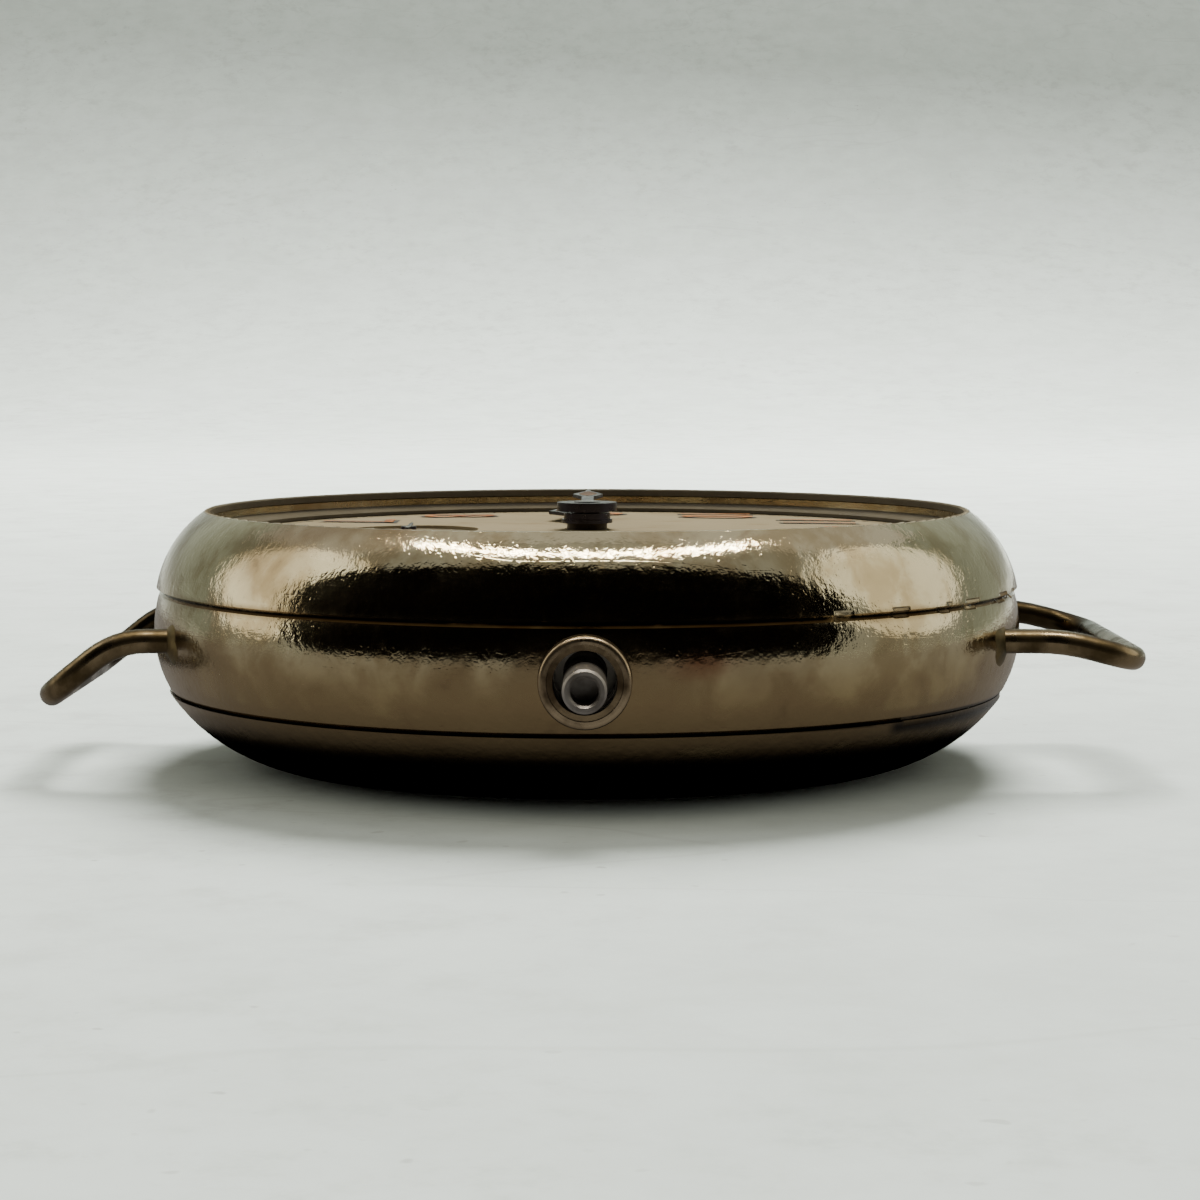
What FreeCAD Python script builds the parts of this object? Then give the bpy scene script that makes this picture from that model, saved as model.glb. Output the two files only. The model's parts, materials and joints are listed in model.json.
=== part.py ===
import FreeCAD, Part
import math
import os

# A wire-lug wristwatch head: snap bezel, case band, snap back, enamel dial and hands, and the
# hand-wound lever movement inside. Millimetres. Z = 0 is the flat of the back, +Z is the dial
# side, +Y is 12 o'clock and +X is the winding side at 3 o'clock.

Vector = FreeCAD.Vector
os.makedirs("parts", exist_ok=True)

# Fits
movement_fit = 0.05      # radial play of the movement in the band
snap_fit = 0.03          # radial play of the snap-on bezel and back
running_fit = 0.02       # radial play of arbors, wheels and levers on their posts
pivot_fit = 0.01         # radial play of pivots in their jewels
solder_fit = 0.01        # radial gap filled by solder at the lugs and the tube
end_shake = 0.03         # play of an arbor between its two jewels
tooth_gap = 0.02         # gap of contrate teeth that meet at a right angle

# Case
movement_radius = 14.0
band_wall = 2.55
flange_width = 0.45
flange_height = 0.7
upper_neck_wall = 0.6
lower_neck_wall = 0.4
screw_ledge = 0.3
back_floor = 0.6
back_flat_radius = 11.2
seam_chamfer = 0.12
pry_notch_height = 0.35
pry_notch_depth = 0.7
pry_notch_angles = (44.0, 92.0)

# Height stack, from the back's floor to the rim of the bezel
back_room = 1.6          # room between the back's floor and the ratchet wheel
top_wheel_height = 0.4   # ratchet wheel, crown wheel and click
bridge_height = 0.8
train_gap = 1.5
plate_height = 3.1
dial_height = 0.75
dial_dome = 0.12
rim_rise = 0.95          # rim of the bezel above the edge of the dial

# Lugs, tube and stem
lug_wire = 0.9
lug_spacing = 12.7
lug_depth = 1.3
lug_root_drop = 1.55     # lug root below the bezel seam
lug_reach_12 = 4.97      # from the case to the middle of the crossbar
lug_drop_12 = 0.75
lug_reach_6 = 4.52
lug_drop_6 = 2.1
lug_corner = 1.5
lug_knee_back = 1.1      # from the middle of the bend to where it starts
lug_knee_share_12 = 0.45 # middle of the bend, as a share of the reach
lug_knee_share_6 = 0.42
tube_radius = 1.57
tube_bore = 1.29
tube_stand = 0.7
sleeve_wall = 0.2
stem_radius = 0.735
stem_stand = 2.36        # stem beyond the mouth of the tube
stem_bore = 0.46
stem_bore_depth = 1.3
crown_seat_length = 2.2  # end of the stem that the crown goes on
undercut_width = 0.65    # relief behind the crown's seat
undercut_share = 0.74
stem_drop = 0.05         # stem axis below the train side of the plate
stem_travel = 0.9

# Dial and hands
dial_radius = 14.2
bezel_lip_radius = 13.6
opening_margin = 0.26
sub_dial_radius = 2.7
sub_dial_depth = 0.12
hour_hand_length = 8.2
minute_hand_length = 11.9
seconds_hand_length = 2.3
hand_height = 0.14
hour_hand_angle = 187.5
minute_hand_angle = 180.0
seconds_hand_angle = 180.0

# Wheels: teeth and modules of each mesh
barrel_teeth, barrel_module, centre_leaves = 72, 0.16, 10
centre_teeth, centre_module, third_leaves = 80, 0.12, 10
third_teeth, third_module, fourth_leaves = 75, 0.105, 10
fourth_teeth, fourth_module, escape_leaves = 80, 0.09, 8
cannon_leaves, motion_module, minute_teeth = 12, 0.125, 36
minute_leaves, hour_module, hour_teeth = 10, 0.12, 40
setting_teeth = 30
crown_teeth, ratchet_teeth, winding_module = 30, 46, 0.2
escape_teeth, escape_radius = 15, 1.9

# Places of the arbors in plan
barrel_angle = 65.0
seconds_offset = 6.9
escape_angle = 190.0
balance_angle = 197.0
balance_offset = 9.0
pallet_offset = 2.6
minute_wheel_angle = -50.0

# Turning parts
wheel_height = 0.2
pinion_height = 0.45
pivot_radius = 0.12
arbor_radius = 0.25
jewel_radius = 0.6
jewel_height = 0.35
balance_radius = 4.0
balance_rim = 0.35
balance_height = 0.35
screw_radius = 0.8
screw_shank = 0.45
screw_head = 0.35
lever_height = 0.28

# Levels
z_ratchet = back_floor + back_room
z_bridge = z_ratchet + top_wheel_height
z_train = z_bridge + bridge_height
z_plate = z_train + train_gap
z_dial = z_plate + plate_height
z_dial_edge = z_dial + dial_height
z_dial_centre = z_dial_edge + dial_dome
z_rim = z_dial_edge + rim_rise
z_back_seam = z_train - 0.5
z_neck_end = z_back_seam - 0.9
z_bezel_seam = z_dial - 1.3
z_flange = z_dial - flange_height
z_stem = z_plate - stem_drop
z_lever = z_dial - 1.15  # floor of the recess for the setting levers
z_motion = z_dial - 1.4  # floor of the recess for the motion work

# Radii that follow from the fits
band_bore = movement_radius + movement_fit
case_radius = band_bore + band_wall
flange_radius = movement_radius + flange_width
flange_bore = flange_radius + movement_fit
upper_neck = flange_bore + upper_neck_wall
lower_bore = band_bore + screw_ledge
lower_neck = lower_bore + lower_neck_wall
bezel_seam_radius = case_radius - 0.2
back_seam_radius = case_radius - 0.56
opening_radius = dial_radius + opening_margin
sleeve_radius = tube_bore - solder_fit
sleeve_bore = sleeve_radius - sleeve_wall


# ---------------------------------------------------------------- building blocks

def write(name, shape):
    shape.exportStep("parts/" + name + ".step")
    print(name, len(shape.Solids), round(shape.Volume, 3))


def disc(radius, z_low, z_high, place=(0.0, 0.0)):
    return Part.makeCylinder(radius, z_high - z_low, Vector(place[0], place[1], z_low))


def ring(outer, inner, z_low, z_high, place=(0.0, 0.0)):
    return disc(outer, z_low, z_high, place).cut(disc(inner, z_low - 1, z_high + 1, place))


def block(x_low, x_high, y_low, y_high, z_low, z_high):
    return Part.makeBox(x_high - x_low, y_high - y_low, z_high - z_low, Vector(x_low, y_low, z_low))


def rod(radius, x_low, x_high):
    """A round bar along X on the stem's axis."""
    return Part.makeCylinder(radius, x_high - x_low, Vector(x_low, 0, z_stem), Vector(1, 0, 0))


def prism(points, z_low, z_high):
    corners = [Vector(x, y, z_low) for x, y in points]
    wire = Part.makePolygon(corners + corners[:1])
    return Part.Face(wire).extrude(Vector(0, 0, z_high - z_low))


def polar(radius, degrees, centre=(0.0, 0.0)):
    angle = math.radians(degrees)
    return (centre[0] + radius * math.cos(angle), centre[1] + radius * math.sin(angle))


def sector(radius, first, last, z_low, z_high, centre=(0.0, 0.0)):
    """A pie slice that reaches past radius, used to keep or cut part of a ring."""
    steps = max(2, int(abs(last - first) / 30) + 1)
    points = [centre]
    for step in range(steps + 1):
        points.append(polar(radius * 1.3, first + (last - first) * step / steps, centre))
    return prism(points, z_low, z_high)


def turned(outline):
    """Turns an outline of (r, z) points about Z. A pair of points is an arc: its middle and end."""
    edges = []
    start = Vector(outline[0][0], 0, outline[0][1])
    first = start
    for item in outline[1:] + [outline[0]]:
        if isinstance(item[0], tuple):
            middle = Vector(item[0][0], 0, item[0][1])
            end = Vector(item[1][0], 0, item[1][1])
            edges.append(Part.Arc(start, middle, end).toShape())
        else:
            end = Vector(item[0], 0, item[1])
            if end.distanceToPoint(start) > 1e-7:
                edges.append(Part.makeLine(start, end))
        start = end
    if start.distanceToPoint(first) > 1e-7:
        edges.append(Part.makeLine(start, first))
    return Part.Face(Part.Wire(edges)).revolve(Vector(0, 0, 0), Vector(0, 0, 1), 360)


def group(solids):
    return Part.makeCompound(solids)


def tapered_bar(place_a, radius_a, place_b, radius_b, z_low, z_high):
    """A flat bar whose two round ends are joined by their outer tangents."""
    run = math.hypot(place_b[0] - place_a[0], place_b[1] - place_a[1])
    heading = math.degrees(math.atan2(place_b[1] - place_a[1], place_b[0] - place_a[0]))
    lean = math.degrees(math.acos((radius_a - radius_b) / run))
    points = [polar(radius_a, heading + lean, place_a), polar(radius_a, heading - lean, place_a)]
    points += [polar(radius_b, heading - lean, place_b), polar(radius_b, heading + lean, place_b)]
    bar = prism(points, z_low, z_high)
    return bar.fuse([disc(radius_a, z_low, z_high, place_a), disc(radius_b, z_low, z_high, place_b)])


def gear(teeth, module, z_low, z_high, place, facing, tooth_at_facing=True):
    """A toothed disc. facing is the direction, in degrees, that a tooth or a gap points to."""
    pitch = 360.0 / teeth
    start = facing if tooth_at_facing else facing + pitch / 2
    pitch_radius = teeth * module / 2
    few = teeth < 20
    root = pitch_radius - module * (1.2 if few else 1.05)
    tip = pitch_radius + module * (0.7 if few else 0.85)
    flank = 0.2 * pitch
    crest = 0.1 * pitch
    points = []
    for tooth in range(teeth):
        middle = start + tooth * pitch
        points.append(polar(root, middle - flank, place))
        points.append(polar(pitch_radius, middle - flank, place))
        points.append(polar(tip, middle - crest, place))
        points.append(polar(tip, middle + crest, place))
        points.append(polar(pitch_radius, middle + flank, place))
        points.append(polar(root, middle + flank, place))
    return prism(points, z_low, z_high)


def crossings(arms, inner, outer, arm_width, z_low, z_high, place):
    """The windows between the arms of a wheel."""
    windows = []
    for arm in range(arms):
        middle = 360.0 / arms * (arm + 0.5)
        half = 180.0 / arms
        in_half = half - math.degrees(math.asin(arm_width / 2 / inner))
        out_half = half - math.degrees(math.asin(arm_width / 2 / outer))
        points = [polar(inner, middle - in_half, place)]
        for step in range(5):
            points.append(polar(outer, middle - out_half + 2 * out_half * step / 4, place))
        points.append(polar(inner, middle + in_half, place))
        windows.append(prism(points, z_low - 0.1, z_high + 0.1))
    return windows


def train_wheel(teeth, module, leaves, leaf_module, place, levels, facings, ends):
    """A crossed wheel and its pinion on one arbor with a pivot at each end.

    levels are the wheel's and the pinion's lowest heights, facings the two phase directions
    (the wheel shows a tooth and the pinion a gap), and ends the heights of the pivots' ends."""
    wheel_z, pinion_z = levels
    wheel = gear(teeth, module, wheel_z, wheel_z + wheel_height, place, facings[0])
    rim_radius = teeth * module / 2 - module - 0.3
    windows = crossings(4, 0.75, rim_radius, 0.4, wheel_z, wheel_z + wheel_height, place)
    pinion = gear(leaves, leaf_module, pinion_z, pinion_z + pinion_height, place, facings[1], False)
    arbor = disc(arbor_radius, z_train + end_shake, z_plate - end_shake, place)
    pivots = disc(pivot_radius, ends[0], ends[1], place)
    return wheel.cut(windows).fuse([pinion, arbor, pivots])


def screw(place, z_head, z_tip, head_radius=screw_radius, shank=screw_shank, slot_angle=30.0):
    """A slotted screw whose head faces the back, with the underside of its head at z_head."""
    body = disc(head_radius, z_head - screw_head, z_head, place).fuse(disc(shank, z_head, z_tip, place))
    slot = block(-head_radius, head_radius, -0.1, 0.1, z_head - screw_head, z_head - screw_head + 0.15)
    slot.rotate(Vector(0, 0, 0), Vector(0, 0, 1), slot_angle)
    slot.translate(Vector(place[0], place[1], 0))
    return body.cut(slot).removeSplitter()


def screw_hole(place, z_head, z_tip, head_radius=screw_radius, shank=screw_shank):
    counterbore = disc(head_radius + running_fit, z_head - 3, z_head, place)
    return counterbore.fuse(disc(shank + pivot_fit, z_head - 0.1, z_tip + 0.1, place))


# ---------------------------------------------------------------- places of the arbors

def mesh_distance(teeth_a, teeth_b, module):
    return (teeth_a + teeth_b) * module / 2


def heading(place_a, place_b):
    return math.degrees(math.atan2(place_b[1] - place_a[1], place_b[0] - place_a[0]))


centre_at = (0.0, 0.0)
barrel_at = polar(mesh_distance(barrel_teeth, centre_leaves, barrel_module), barrel_angle)
fourth_at = (0.0, -seconds_offset)
third_reach = mesh_distance(centre_teeth, third_leaves, centre_module)
third_run = mesh_distance(third_teeth, fourth_leaves, third_module)
third_y = (third_run ** 2 - third_reach ** 2 - seconds_offset ** 2) / (2 * seconds_offset)
third_at = (math.sqrt(third_reach ** 2 - third_y ** 2), third_y)
escape_run = mesh_distance(fourth_teeth, escape_leaves, fourth_module)
escape_at = polar(escape_run, escape_angle, fourth_at)
balance_at = polar(balance_offset, balance_angle)
pallet_at = polar(pallet_offset, heading(escape_at, balance_at), escape_at)
winding_run = mesh_distance(crown_teeth, ratchet_teeth, winding_module)
crown_at = (barrel_at[0] + math.sqrt(winding_run ** 2 - barrel_at[1] ** 2), 0.0)
minute_at = polar(mesh_distance(cannon_leaves, minute_teeth, motion_module), minute_wheel_angle)
setting_run = mesh_distance(minute_teeth, setting_teeth, motion_module)
setting_at = (minute_at[0] + math.sqrt(setting_run ** 2 - minute_at[1] ** 2), 0.0)
train_places = [third_at, fourth_at, escape_at, pallet_at]

# Along the stem, from the crown wheel's rim outwards
crown_radius = crown_teeth * winding_module / 2
winding_pinion_x = crown_at[0] + crown_radius - 0.5
winding_pinion_width = 1.35
winding_pinion_radius = z_stem - (z_bridge + 0.45) - tooth_gap
clutch_width = 2.2
clutch_radius = 1.3
clutch_groove = 0.9
clutch_x = winding_pinion_x - clutch_width - tooth_gap
lever_groove_x = winding_pinion_x + winding_pinion_width + 0.55
lever_groove_width = 0.7
stem_core = 0.6
square_side = 0.8
pilot_radius = 0.3
pilot_x = clutch_x - stem_travel - 0.95
tube_mouth_x = case_radius + tube_stand
stem_tip_x = tube_mouth_x + stem_stand
case_screw_angles = (170.0, -25.0)
bridge_screw_places = [polar(13.1, 28.0), polar(13.1, 100.0), polar(13.1, -13.5)]
bridge_screw_places += [polar(12.9, -45.0), polar(12.9, -100.0)]
cock_foot_at = polar(11.55, 145.0)
pallet_foot_at = polar(12.1, 228.5)
click_at = polar(6.2, 160.0, barrel_at)
yoke_at = (clutch_x + clutch_width / 2 + 1.8, -3.4)
setting_lever_at = (lever_groove_x + lever_groove_width / 2 - 0.6, 3.0)
cover_screw_at = (8.9, 3.3)


# ---------------------------------------------------------------- case

def make_case_band():
    outline = [(lower_bore, z_neck_end), (lower_bore, z_plate), (band_bore, z_plate),
               (band_bore, z_flange), (flange_bore, z_flange), (flange_bore, z_dial),
               (upper_neck, z_dial), (upper_neck, z_bezel_seam),
               (bezel_seam_radius - seam_chamfer, z_bezel_seam),
               (bezel_seam_radius, z_bezel_seam - seam_chamfer),
               ((case_radius, (z_bezel_seam + z_back_seam) / 2 + 0.35),
                (back_seam_radius, z_back_seam + seam_chamfer)),
               (back_seam_radius - seam_chamfer, z_back_seam),
               (lower_neck, z_back_seam), (lower_neck, z_neck_end)]
    band = turned(outline)
    band = band.cut(rod(tube_radius + solder_fit, band_bore + 0.4, case_radius + 1))
    band = band.cut(rod(sleeve_radius + solder_fit, band_bore - 1, case_radius + 1))
    for side in (-1, 1):
        for end in (-1, 1):
            root = Vector(side * lug_spacing / 2, end * lug_socket_y, z_bezel_seam - lug_root_drop)
            socket = Part.makeCylinder(lug_wire / 2 + solder_fit, 4, root, Vector(0, end, 0))
            band = band.cut(socket)
    write("case_band", band)


def make_bezel():
    groove = opening_radius + 0.2
    outline = [(upper_neck + snap_fit, z_bezel_seam), (bezel_seam_radius - seam_chamfer, z_bezel_seam),
               (bezel_seam_radius + 0.1, z_bezel_seam + seam_chamfer),
               ((bezel_seam_radius - 0.42, z_bezel_seam + 1.55), (opening_radius + 0.22, z_rim - 0.04)),
               ((opening_radius + 0.1, z_rim), (opening_radius, z_rim - 0.06)),
               (opening_radius, z_rim - 0.28), (groove, z_rim - 0.34), (groove, z_rim - 0.58),
               (bezel_lip_radius + 0.15, z_dial_edge + 0.22), (bezel_lip_radius, z_dial_edge + 0.17),
               (bezel_lip_radius, z_dial_edge + 0.04), (dial_radius + 0.12, z_dial_edge + 0.04),
               (dial_radius + 0.12, z_dial + 0.05), (upper_neck + snap_fit, z_dial + 0.05)]
    write("bezel", turned(outline))


def make_case_back():
    outline = [(0, 0), (back_flat_radius, 0),
               ((case_radius - 2.3, 1.08), (back_seam_radius, z_back_seam - 0.05)),
               (lower_neck + snap_fit, z_back_seam - 0.05), (lower_neck + snap_fit, z_neck_end),
               (lower_bore - 0.2, z_neck_end),
               ((lower_bore - 1.0, back_floor + 0.62), (back_flat_radius, back_floor)),
               (0, back_floor)]
    back = turned(outline)
    notch = ring(case_radius + 1, case_radius - pry_notch_depth,
                 z_back_seam - pry_notch_height, z_back_seam + 0.2)
    first, last = pry_notch_angles
    notch = notch.common(sector(case_radius + 1, first, last, 0, z_dial))
    write("case_back", back.cut(notch))


lug_socket_y = math.sqrt(case_radius ** 2 - (lug_spacing / 2) ** 2) - lug_depth


def make_lug(name, end, reach, drop, knee_share):
    """A soldered loop of wire: two legs from the band and a crossbar, bent down towards the wrist."""
    half = lug_spacing / 2
    case_y = math.sqrt(case_radius ** 2 - half ** 2)
    z_root = z_bezel_seam - lug_root_drop
    knee = Vector(half, case_y + reach * knee_share, z_root)
    bar = Vector(half, case_y + reach, z_root - drop)
    fall = (bar - knee).normalize()
    before_knee = knee - Vector(0, lug_knee_back, 0)
    after_knee = knee + fall * lug_knee_back
    bend = math.acos(max(-1.0, min(1.0, fall.y)))
    centre_side = (fall - Vector(0, 1, 0)).normalize()
    knee_radius = lug_knee_back / math.tan(bend / 2)
    sagitta = knee_radius / math.cos(bend / 2) - knee_radius
    knee_middle = knee + centre_side * sagitta
    before_corner = bar - fall * lug_corner
    after_corner = bar - Vector(lug_corner, 0, 0)
    corner_centre = before_corner - Vector(lug_corner, 0, 0)
    corner_middle = corner_centre + (bar - corner_centre).normalize() * lug_corner
    root = Vector(half, lug_socket_y, z_root)

    def mirrored(point):
        return Vector(-point.x, point.y, point.z)

    edges = [Part.makeLine(root, before_knee)]
    edges.append(Part.Arc(before_knee, knee_middle, after_knee).toShape())
    edges.append(Part.makeLine(after_knee, before_corner))
    edges.append(Part.Arc(before_corner, corner_middle, after_corner).toShape())
    edges.append(Part.makeLine(after_corner, mirrored(after_corner)))
    edges.append(Part.Arc(mirrored(after_corner), mirrored(corner_middle), mirrored(before_corner)).toShape())
    edges.append(Part.makeLine(mirrored(before_corner), mirrored(after_knee)))
    edges.append(Part.Arc(mirrored(after_knee), mirrored(knee_middle), mirrored(before_knee)).toShape())
    edges.append(Part.makeLine(mirrored(before_knee), mirrored(root)))
    section = Part.Wire(Part.makeCircle(lug_wire / 2, root, Vector(0, 1, 0)))
    lug = Part.Wire(edges).makePipeShell([section], True, False)
    if end < 0:
        lug.rotate(Vector(0, 0, 0), Vector(0, 0, 1), 180)
    write(name, lug)


def make_tube():
    rounding = 0.18
    tube = rod(tube_radius, band_bore + 0.5, tube_mouth_x)
    rim = [edge for edge in tube.Edges if abs(edge.CenterOfMass.x - tube_mouth_x) < 1e-6]
    tube = tube.makeFillet(rounding, rim).cut(rod(tube_bore, 0, tube_mouth_x + 1))
    write("pendant_tube", tube)
    sleeve = rod(sleeve_radius, band_bore + 0.1, tube_mouth_x - 0.12)
    write("pendant_sleeve", sleeve.cut(rod(sleeve_bore, 0, tube_mouth_x + 1)))


def make_case_screws():
    screws = []
    for angle in case_screw_angles:
        screws.append(screw(polar(movement_radius - 0.5, angle), z_plate, z_plate + 1.6, 0.75, 0.35, angle))
    write("case_screws", group(screws))


# ---------------------------------------------------------------- dial and hands

def dial_top(radius):
    """Height of the domed dial at a distance from its middle."""
    return z_dial_centre - dial_dome * (radius / dial_radius) ** 2


def make_dial():
    outline = [(0, z_dial), (dial_radius, z_dial), (dial_radius, z_dial_edge),
               ((dial_radius * 0.6, dial_top(dial_radius * 0.6)), (0, z_dial_centre))]
    dial = turned(outline)
    dial = dial.cut(disc(hour_pipe_radius + 0.08, z_dial - 1, z_rim))
    sub_floor = dial_top(seconds_offset) - sub_dial_depth
    dial = dial.cut(disc(sub_dial_radius, sub_floor, z_rim, fourth_at))
    dial = dial.cut(disc(0.35, z_dial - 1, z_rim, fourth_at))
    feet = [disc(0.4, z_dial - 1.6, z_dial, place) for place in dial_feet]
    write("dial", dial.fuse(feet))
    screws = []
    for place in dial_feet:
        outward = Vector(place[0], place[1], 0).normalize()
        start = Vector(place[0], place[1], z_dial - dial_screw_drop) + outward * (0.4 + pivot_fit)
        length = flange_radius - 0.15 - math.hypot(place[0], place[1]) - 0.4 - pivot_fit
        screws.append(Part.makeCylinder(dial_screw_radius, length, start, outward))
    write("dial_screws", group(screws))


def hand_blade(place, angle, length, boss, waist, bulb, tip, z_low):
    """A spade hand: a slim shank, a swelling two thirds of the way out and a pointed tip."""
    outline = [(0, -waist), (length * 0.52, -waist), (length * 0.68, -bulb), (length * 0.8, -bulb * 0.55),
               (length * 0.86, -tip), (length, -0.03), (length, 0.03), (length * 0.86, tip),
               (length * 0.8, bulb * 0.55), (length * 0.68, bulb), (length * 0.52, waist), (0, waist)]
    blade = prism(outline, z_low, z_low + hand_height)
    blade.rotate(Vector(0, 0, 0), Vector(0, 0, 1), angle)
    blade.translate(Vector(place[0], place[1], 0))
    return blade.fuse(disc(boss, z_low, z_low + hand_height, place))


hour_pipe_radius = 0.78
cannon_pipe_radius = 0.5
centre_post_radius = 0.27
hour_hub_radius, hour_hub_height = 0.9, 0.38
minute_hub_radius, minute_hub_drop, minute_hub_rise = 1.15, 0.1, 0.24
z_hour_hand = z_dial_centre + 0.25
z_minute_hand = z_hour_hand + 0.55
z_cannon_top = z_minute_hand + 0.28
dial_feet = [polar(11.9, 118.0), polar(11.9, 285.0)]
dial_screw_radius = 0.3
dial_screw_drop = 0.35


def make_hands():
    hour = hand_blade(centre_at, hour_hand_angle, hour_hand_length, 0.98, 0.32, 0.85, 0.2, z_hour_hand)
    hour = hour.fuse(disc(hour_hub_radius, z_hour_hand, z_hour_hand + hour_hub_height))
    write("hour_hand", hour.cut(disc(hour_pipe_radius, z_dial, z_rim + 2)))
    minute = hand_blade(centre_at, minute_hand_angle, minute_hand_length, 0.8, 0.24, 0.62, 0.15,
                        z_minute_hand)
    minute = minute.fuse(disc(minute_hub_radius, z_minute_hand - minute_hub_drop,
                              z_minute_hand + minute_hub_rise))
    write("minute_hand", minute.cut(disc(cannon_pipe_radius, z_dial, z_rim + 2)))
    z_seconds = dial_top(seconds_offset) - sub_dial_depth + 0.12
    seconds = hand_blade(fourth_at, seconds_hand_angle, seconds_hand_length, 0.3, 0.07, 0.07, 0.05, z_seconds)
    tail = hand_blade(fourth_at, seconds_hand_angle + 180, 0.9, 0.3, 0.09, 0.12, 0.1, z_seconds)
    write("seconds_hand", seconds.fuse(tail).cut(disc(pivot_radius, z_dial, z_rim, fourth_at)))


def make_motion_work():
    """Cannon pinion, minute wheel and hour wheel, which gear the hour hand down by twelve."""
    minute_facing = heading(centre_at, minute_at)
    z_cannon = z_motion + 0.15
    cannon = gear(cannon_leaves, motion_module, z_cannon, z_cannon + 0.4, centre_at, minute_facing)
    cannon = cannon.fuse(disc(cannon_pipe_radius, z_cannon, z_cannon_top))
    write("cannon_pinion", cannon.cut(disc(centre_post_radius + running_fit, 0, z_cannon_top - 0.12)))
    wheel = gear(minute_teeth, motion_module, z_cannon, z_cannon + wheel_height, minute_at,
                 minute_facing + 180, False)
    pinion = gear(minute_leaves, hour_module, z_cannon + wheel_height, z_cannon + 0.75, minute_at,
                  minute_facing + 180)
    minute_bore = disc(minute_post + running_fit, 0, z_rim, minute_at)
    write("minute_wheel", wheel.fuse(pinion).cut(minute_bore))
    z_hour = z_cannon + 0.45
    hour = gear(hour_teeth, hour_module, z_hour, z_hour + wheel_height, centre_at, minute_facing, False)
    hour = hour.fuse(disc(hour_pipe_radius, z_hour, z_hour_hand + hour_hub_height))
    write("hour_wheel", hour.cut(disc(cannon_pipe_radius + running_fit, 0, z_rim + 2)))


minute_post = 0.35
setting_post = 0.4
lever_post = 0.35


# ---------------------------------------------------------------- winding and setting

def make_winding_work():
    contrate_low = z_bridge + 0.45
    crown_facing = heading(crown_at, barrel_at)
    crown = gear(crown_teeth, winding_module, z_ratchet, z_bridge, crown_at, crown_facing)
    rim = crown_radius - winding_module * 1.2
    teeth = ring(rim, rim - 0.5, z_bridge - 0.05, contrate_low, crown_at)
    gaps = []
    for tooth in range(crown_teeth):
        gap = block(0, rim + 1, -0.13, 0.13, z_bridge + 0.05, contrate_low + 1)
        gap.rotate(Vector(0, 0, 0), Vector(0, 0, 1), crown_facing + 360.0 / crown_teeth * (tooth + 0.5))
        gap.translate(Vector(crown_at[0], crown_at[1], 0))
        gaps.append(gap)
    crown = crown.fuse(teeth.cut(gaps))
    crown = crown.cut(disc(crown_boss + running_fit, 0, z_train, crown_at))
    write("crown_wheel", crown)
    write("crown_wheel_screw", screw(crown_at, z_ratchet - running_fit, z_train - 0.2, 1.6, 0.5, 65.0))

    ratchet = gear(ratchet_teeth, winding_module, z_ratchet, z_bridge, barrel_at, crown_facing + 180, False)
    square = block(-arbor_square / 2, arbor_square / 2, -arbor_square / 2, arbor_square / 2, 0, z_train)
    square.translate(Vector(barrel_at[0], barrel_at[1], 0))
    write("ratchet_wheel", ratchet.cut(square))
    write("ratchet_screw", screw(barrel_at, z_ratchet, z_train, 1.4, ratchet_shank, 20.0))

    tip = heading(click_at, barrel_at)
    reach = 6.2 - ratchet_teeth * winding_module / 2 - winding_module * 0.85 - 0.04
    corners = [(0.75, 95), (reach, 16), (reach, 4), (0.75, -70), (1.9, -150), (1.9, -168)]
    nose = [polar(radius, tip + turn, click_at) for radius, turn in corners]
    click = prism(nose, z_ratchet, z_bridge).fuse(disc(0.8, z_ratchet, z_bridge, click_at))
    click = click.cut(disc(0.4 + running_fit, 0, z_train, click_at))
    write("click", click)
    write("click_screw", screw(click_at, z_ratchet - running_fit, z_train - 0.2, 0.7, 0.4, 80.0))
    spring_foot = polar(3.3, tip - 100, click_at)
    spring = tapered_bar(spring_foot, 0.5, polar(2.2, tip - 133, click_at), 0.1, z_ratchet, z_bridge)
    write("click_spring", spring)


crown_boss = 1.2
arbor_square = 1.2
ratchet_shank = 0.4


def make_stem():
    z = z_stem
    stem = rod(stem_radius, lever_groove_x + lever_groove_width, stem_tip_x)
    stem = stem.fuse(rod(stem_core * 0.7, lever_groove_x - 0.1, lever_groove_x + lever_groove_width + 0.1))
    stem = stem.fuse(rod(stem_core, winding_pinion_x + 0.02, lever_groove_x))
    half = square_side / 2
    stem = stem.fuse(block(pilot_x + 1.0, winding_pinion_x + 0.1, -half, half, z - half, z + half))
    stem = stem.fuse(rod(pilot_radius, pilot_x, pilot_x + 1.1))
    stem = stem.cut(rod(stem_bore, stem_tip_x - stem_bore_depth, stem_tip_x + 1))
    seat_x = stem_tip_x - crown_seat_length
    undercut = rod(stem_radius + 1, seat_x - undercut_width, seat_x)
    stem = stem.cut(undercut.cut(rod(stem_radius * undercut_share, 0, stem_tip_x + 1)))
    edges = [edge for edge in stem.Edges if abs(edge.CenterOfMass.x - stem_tip_x) < 1e-6]
    stem = stem.makeChamfer(0.08, edges)
    write("winding_stem", stem)


def crown_teeth_on_axis(radius, bore, x_low, x_high, count, depth):
    """A pinion along the stem with straight teeth all round."""
    body = rod(radius, x_low, x_high)
    gaps = []
    for tooth in range(count):
        gap = block(x_low - 1, x_high + 1, -0.2, 0.2, z_stem + radius - depth, z_stem + radius + 1)
        gap.rotate(Vector(0, 0, z_stem), Vector(1, 0, 0), 360.0 / count * tooth)
        gaps.append(gap)
    return body.cut(gaps).cut(rod(bore, x_low - 1, x_high + 1))


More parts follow.
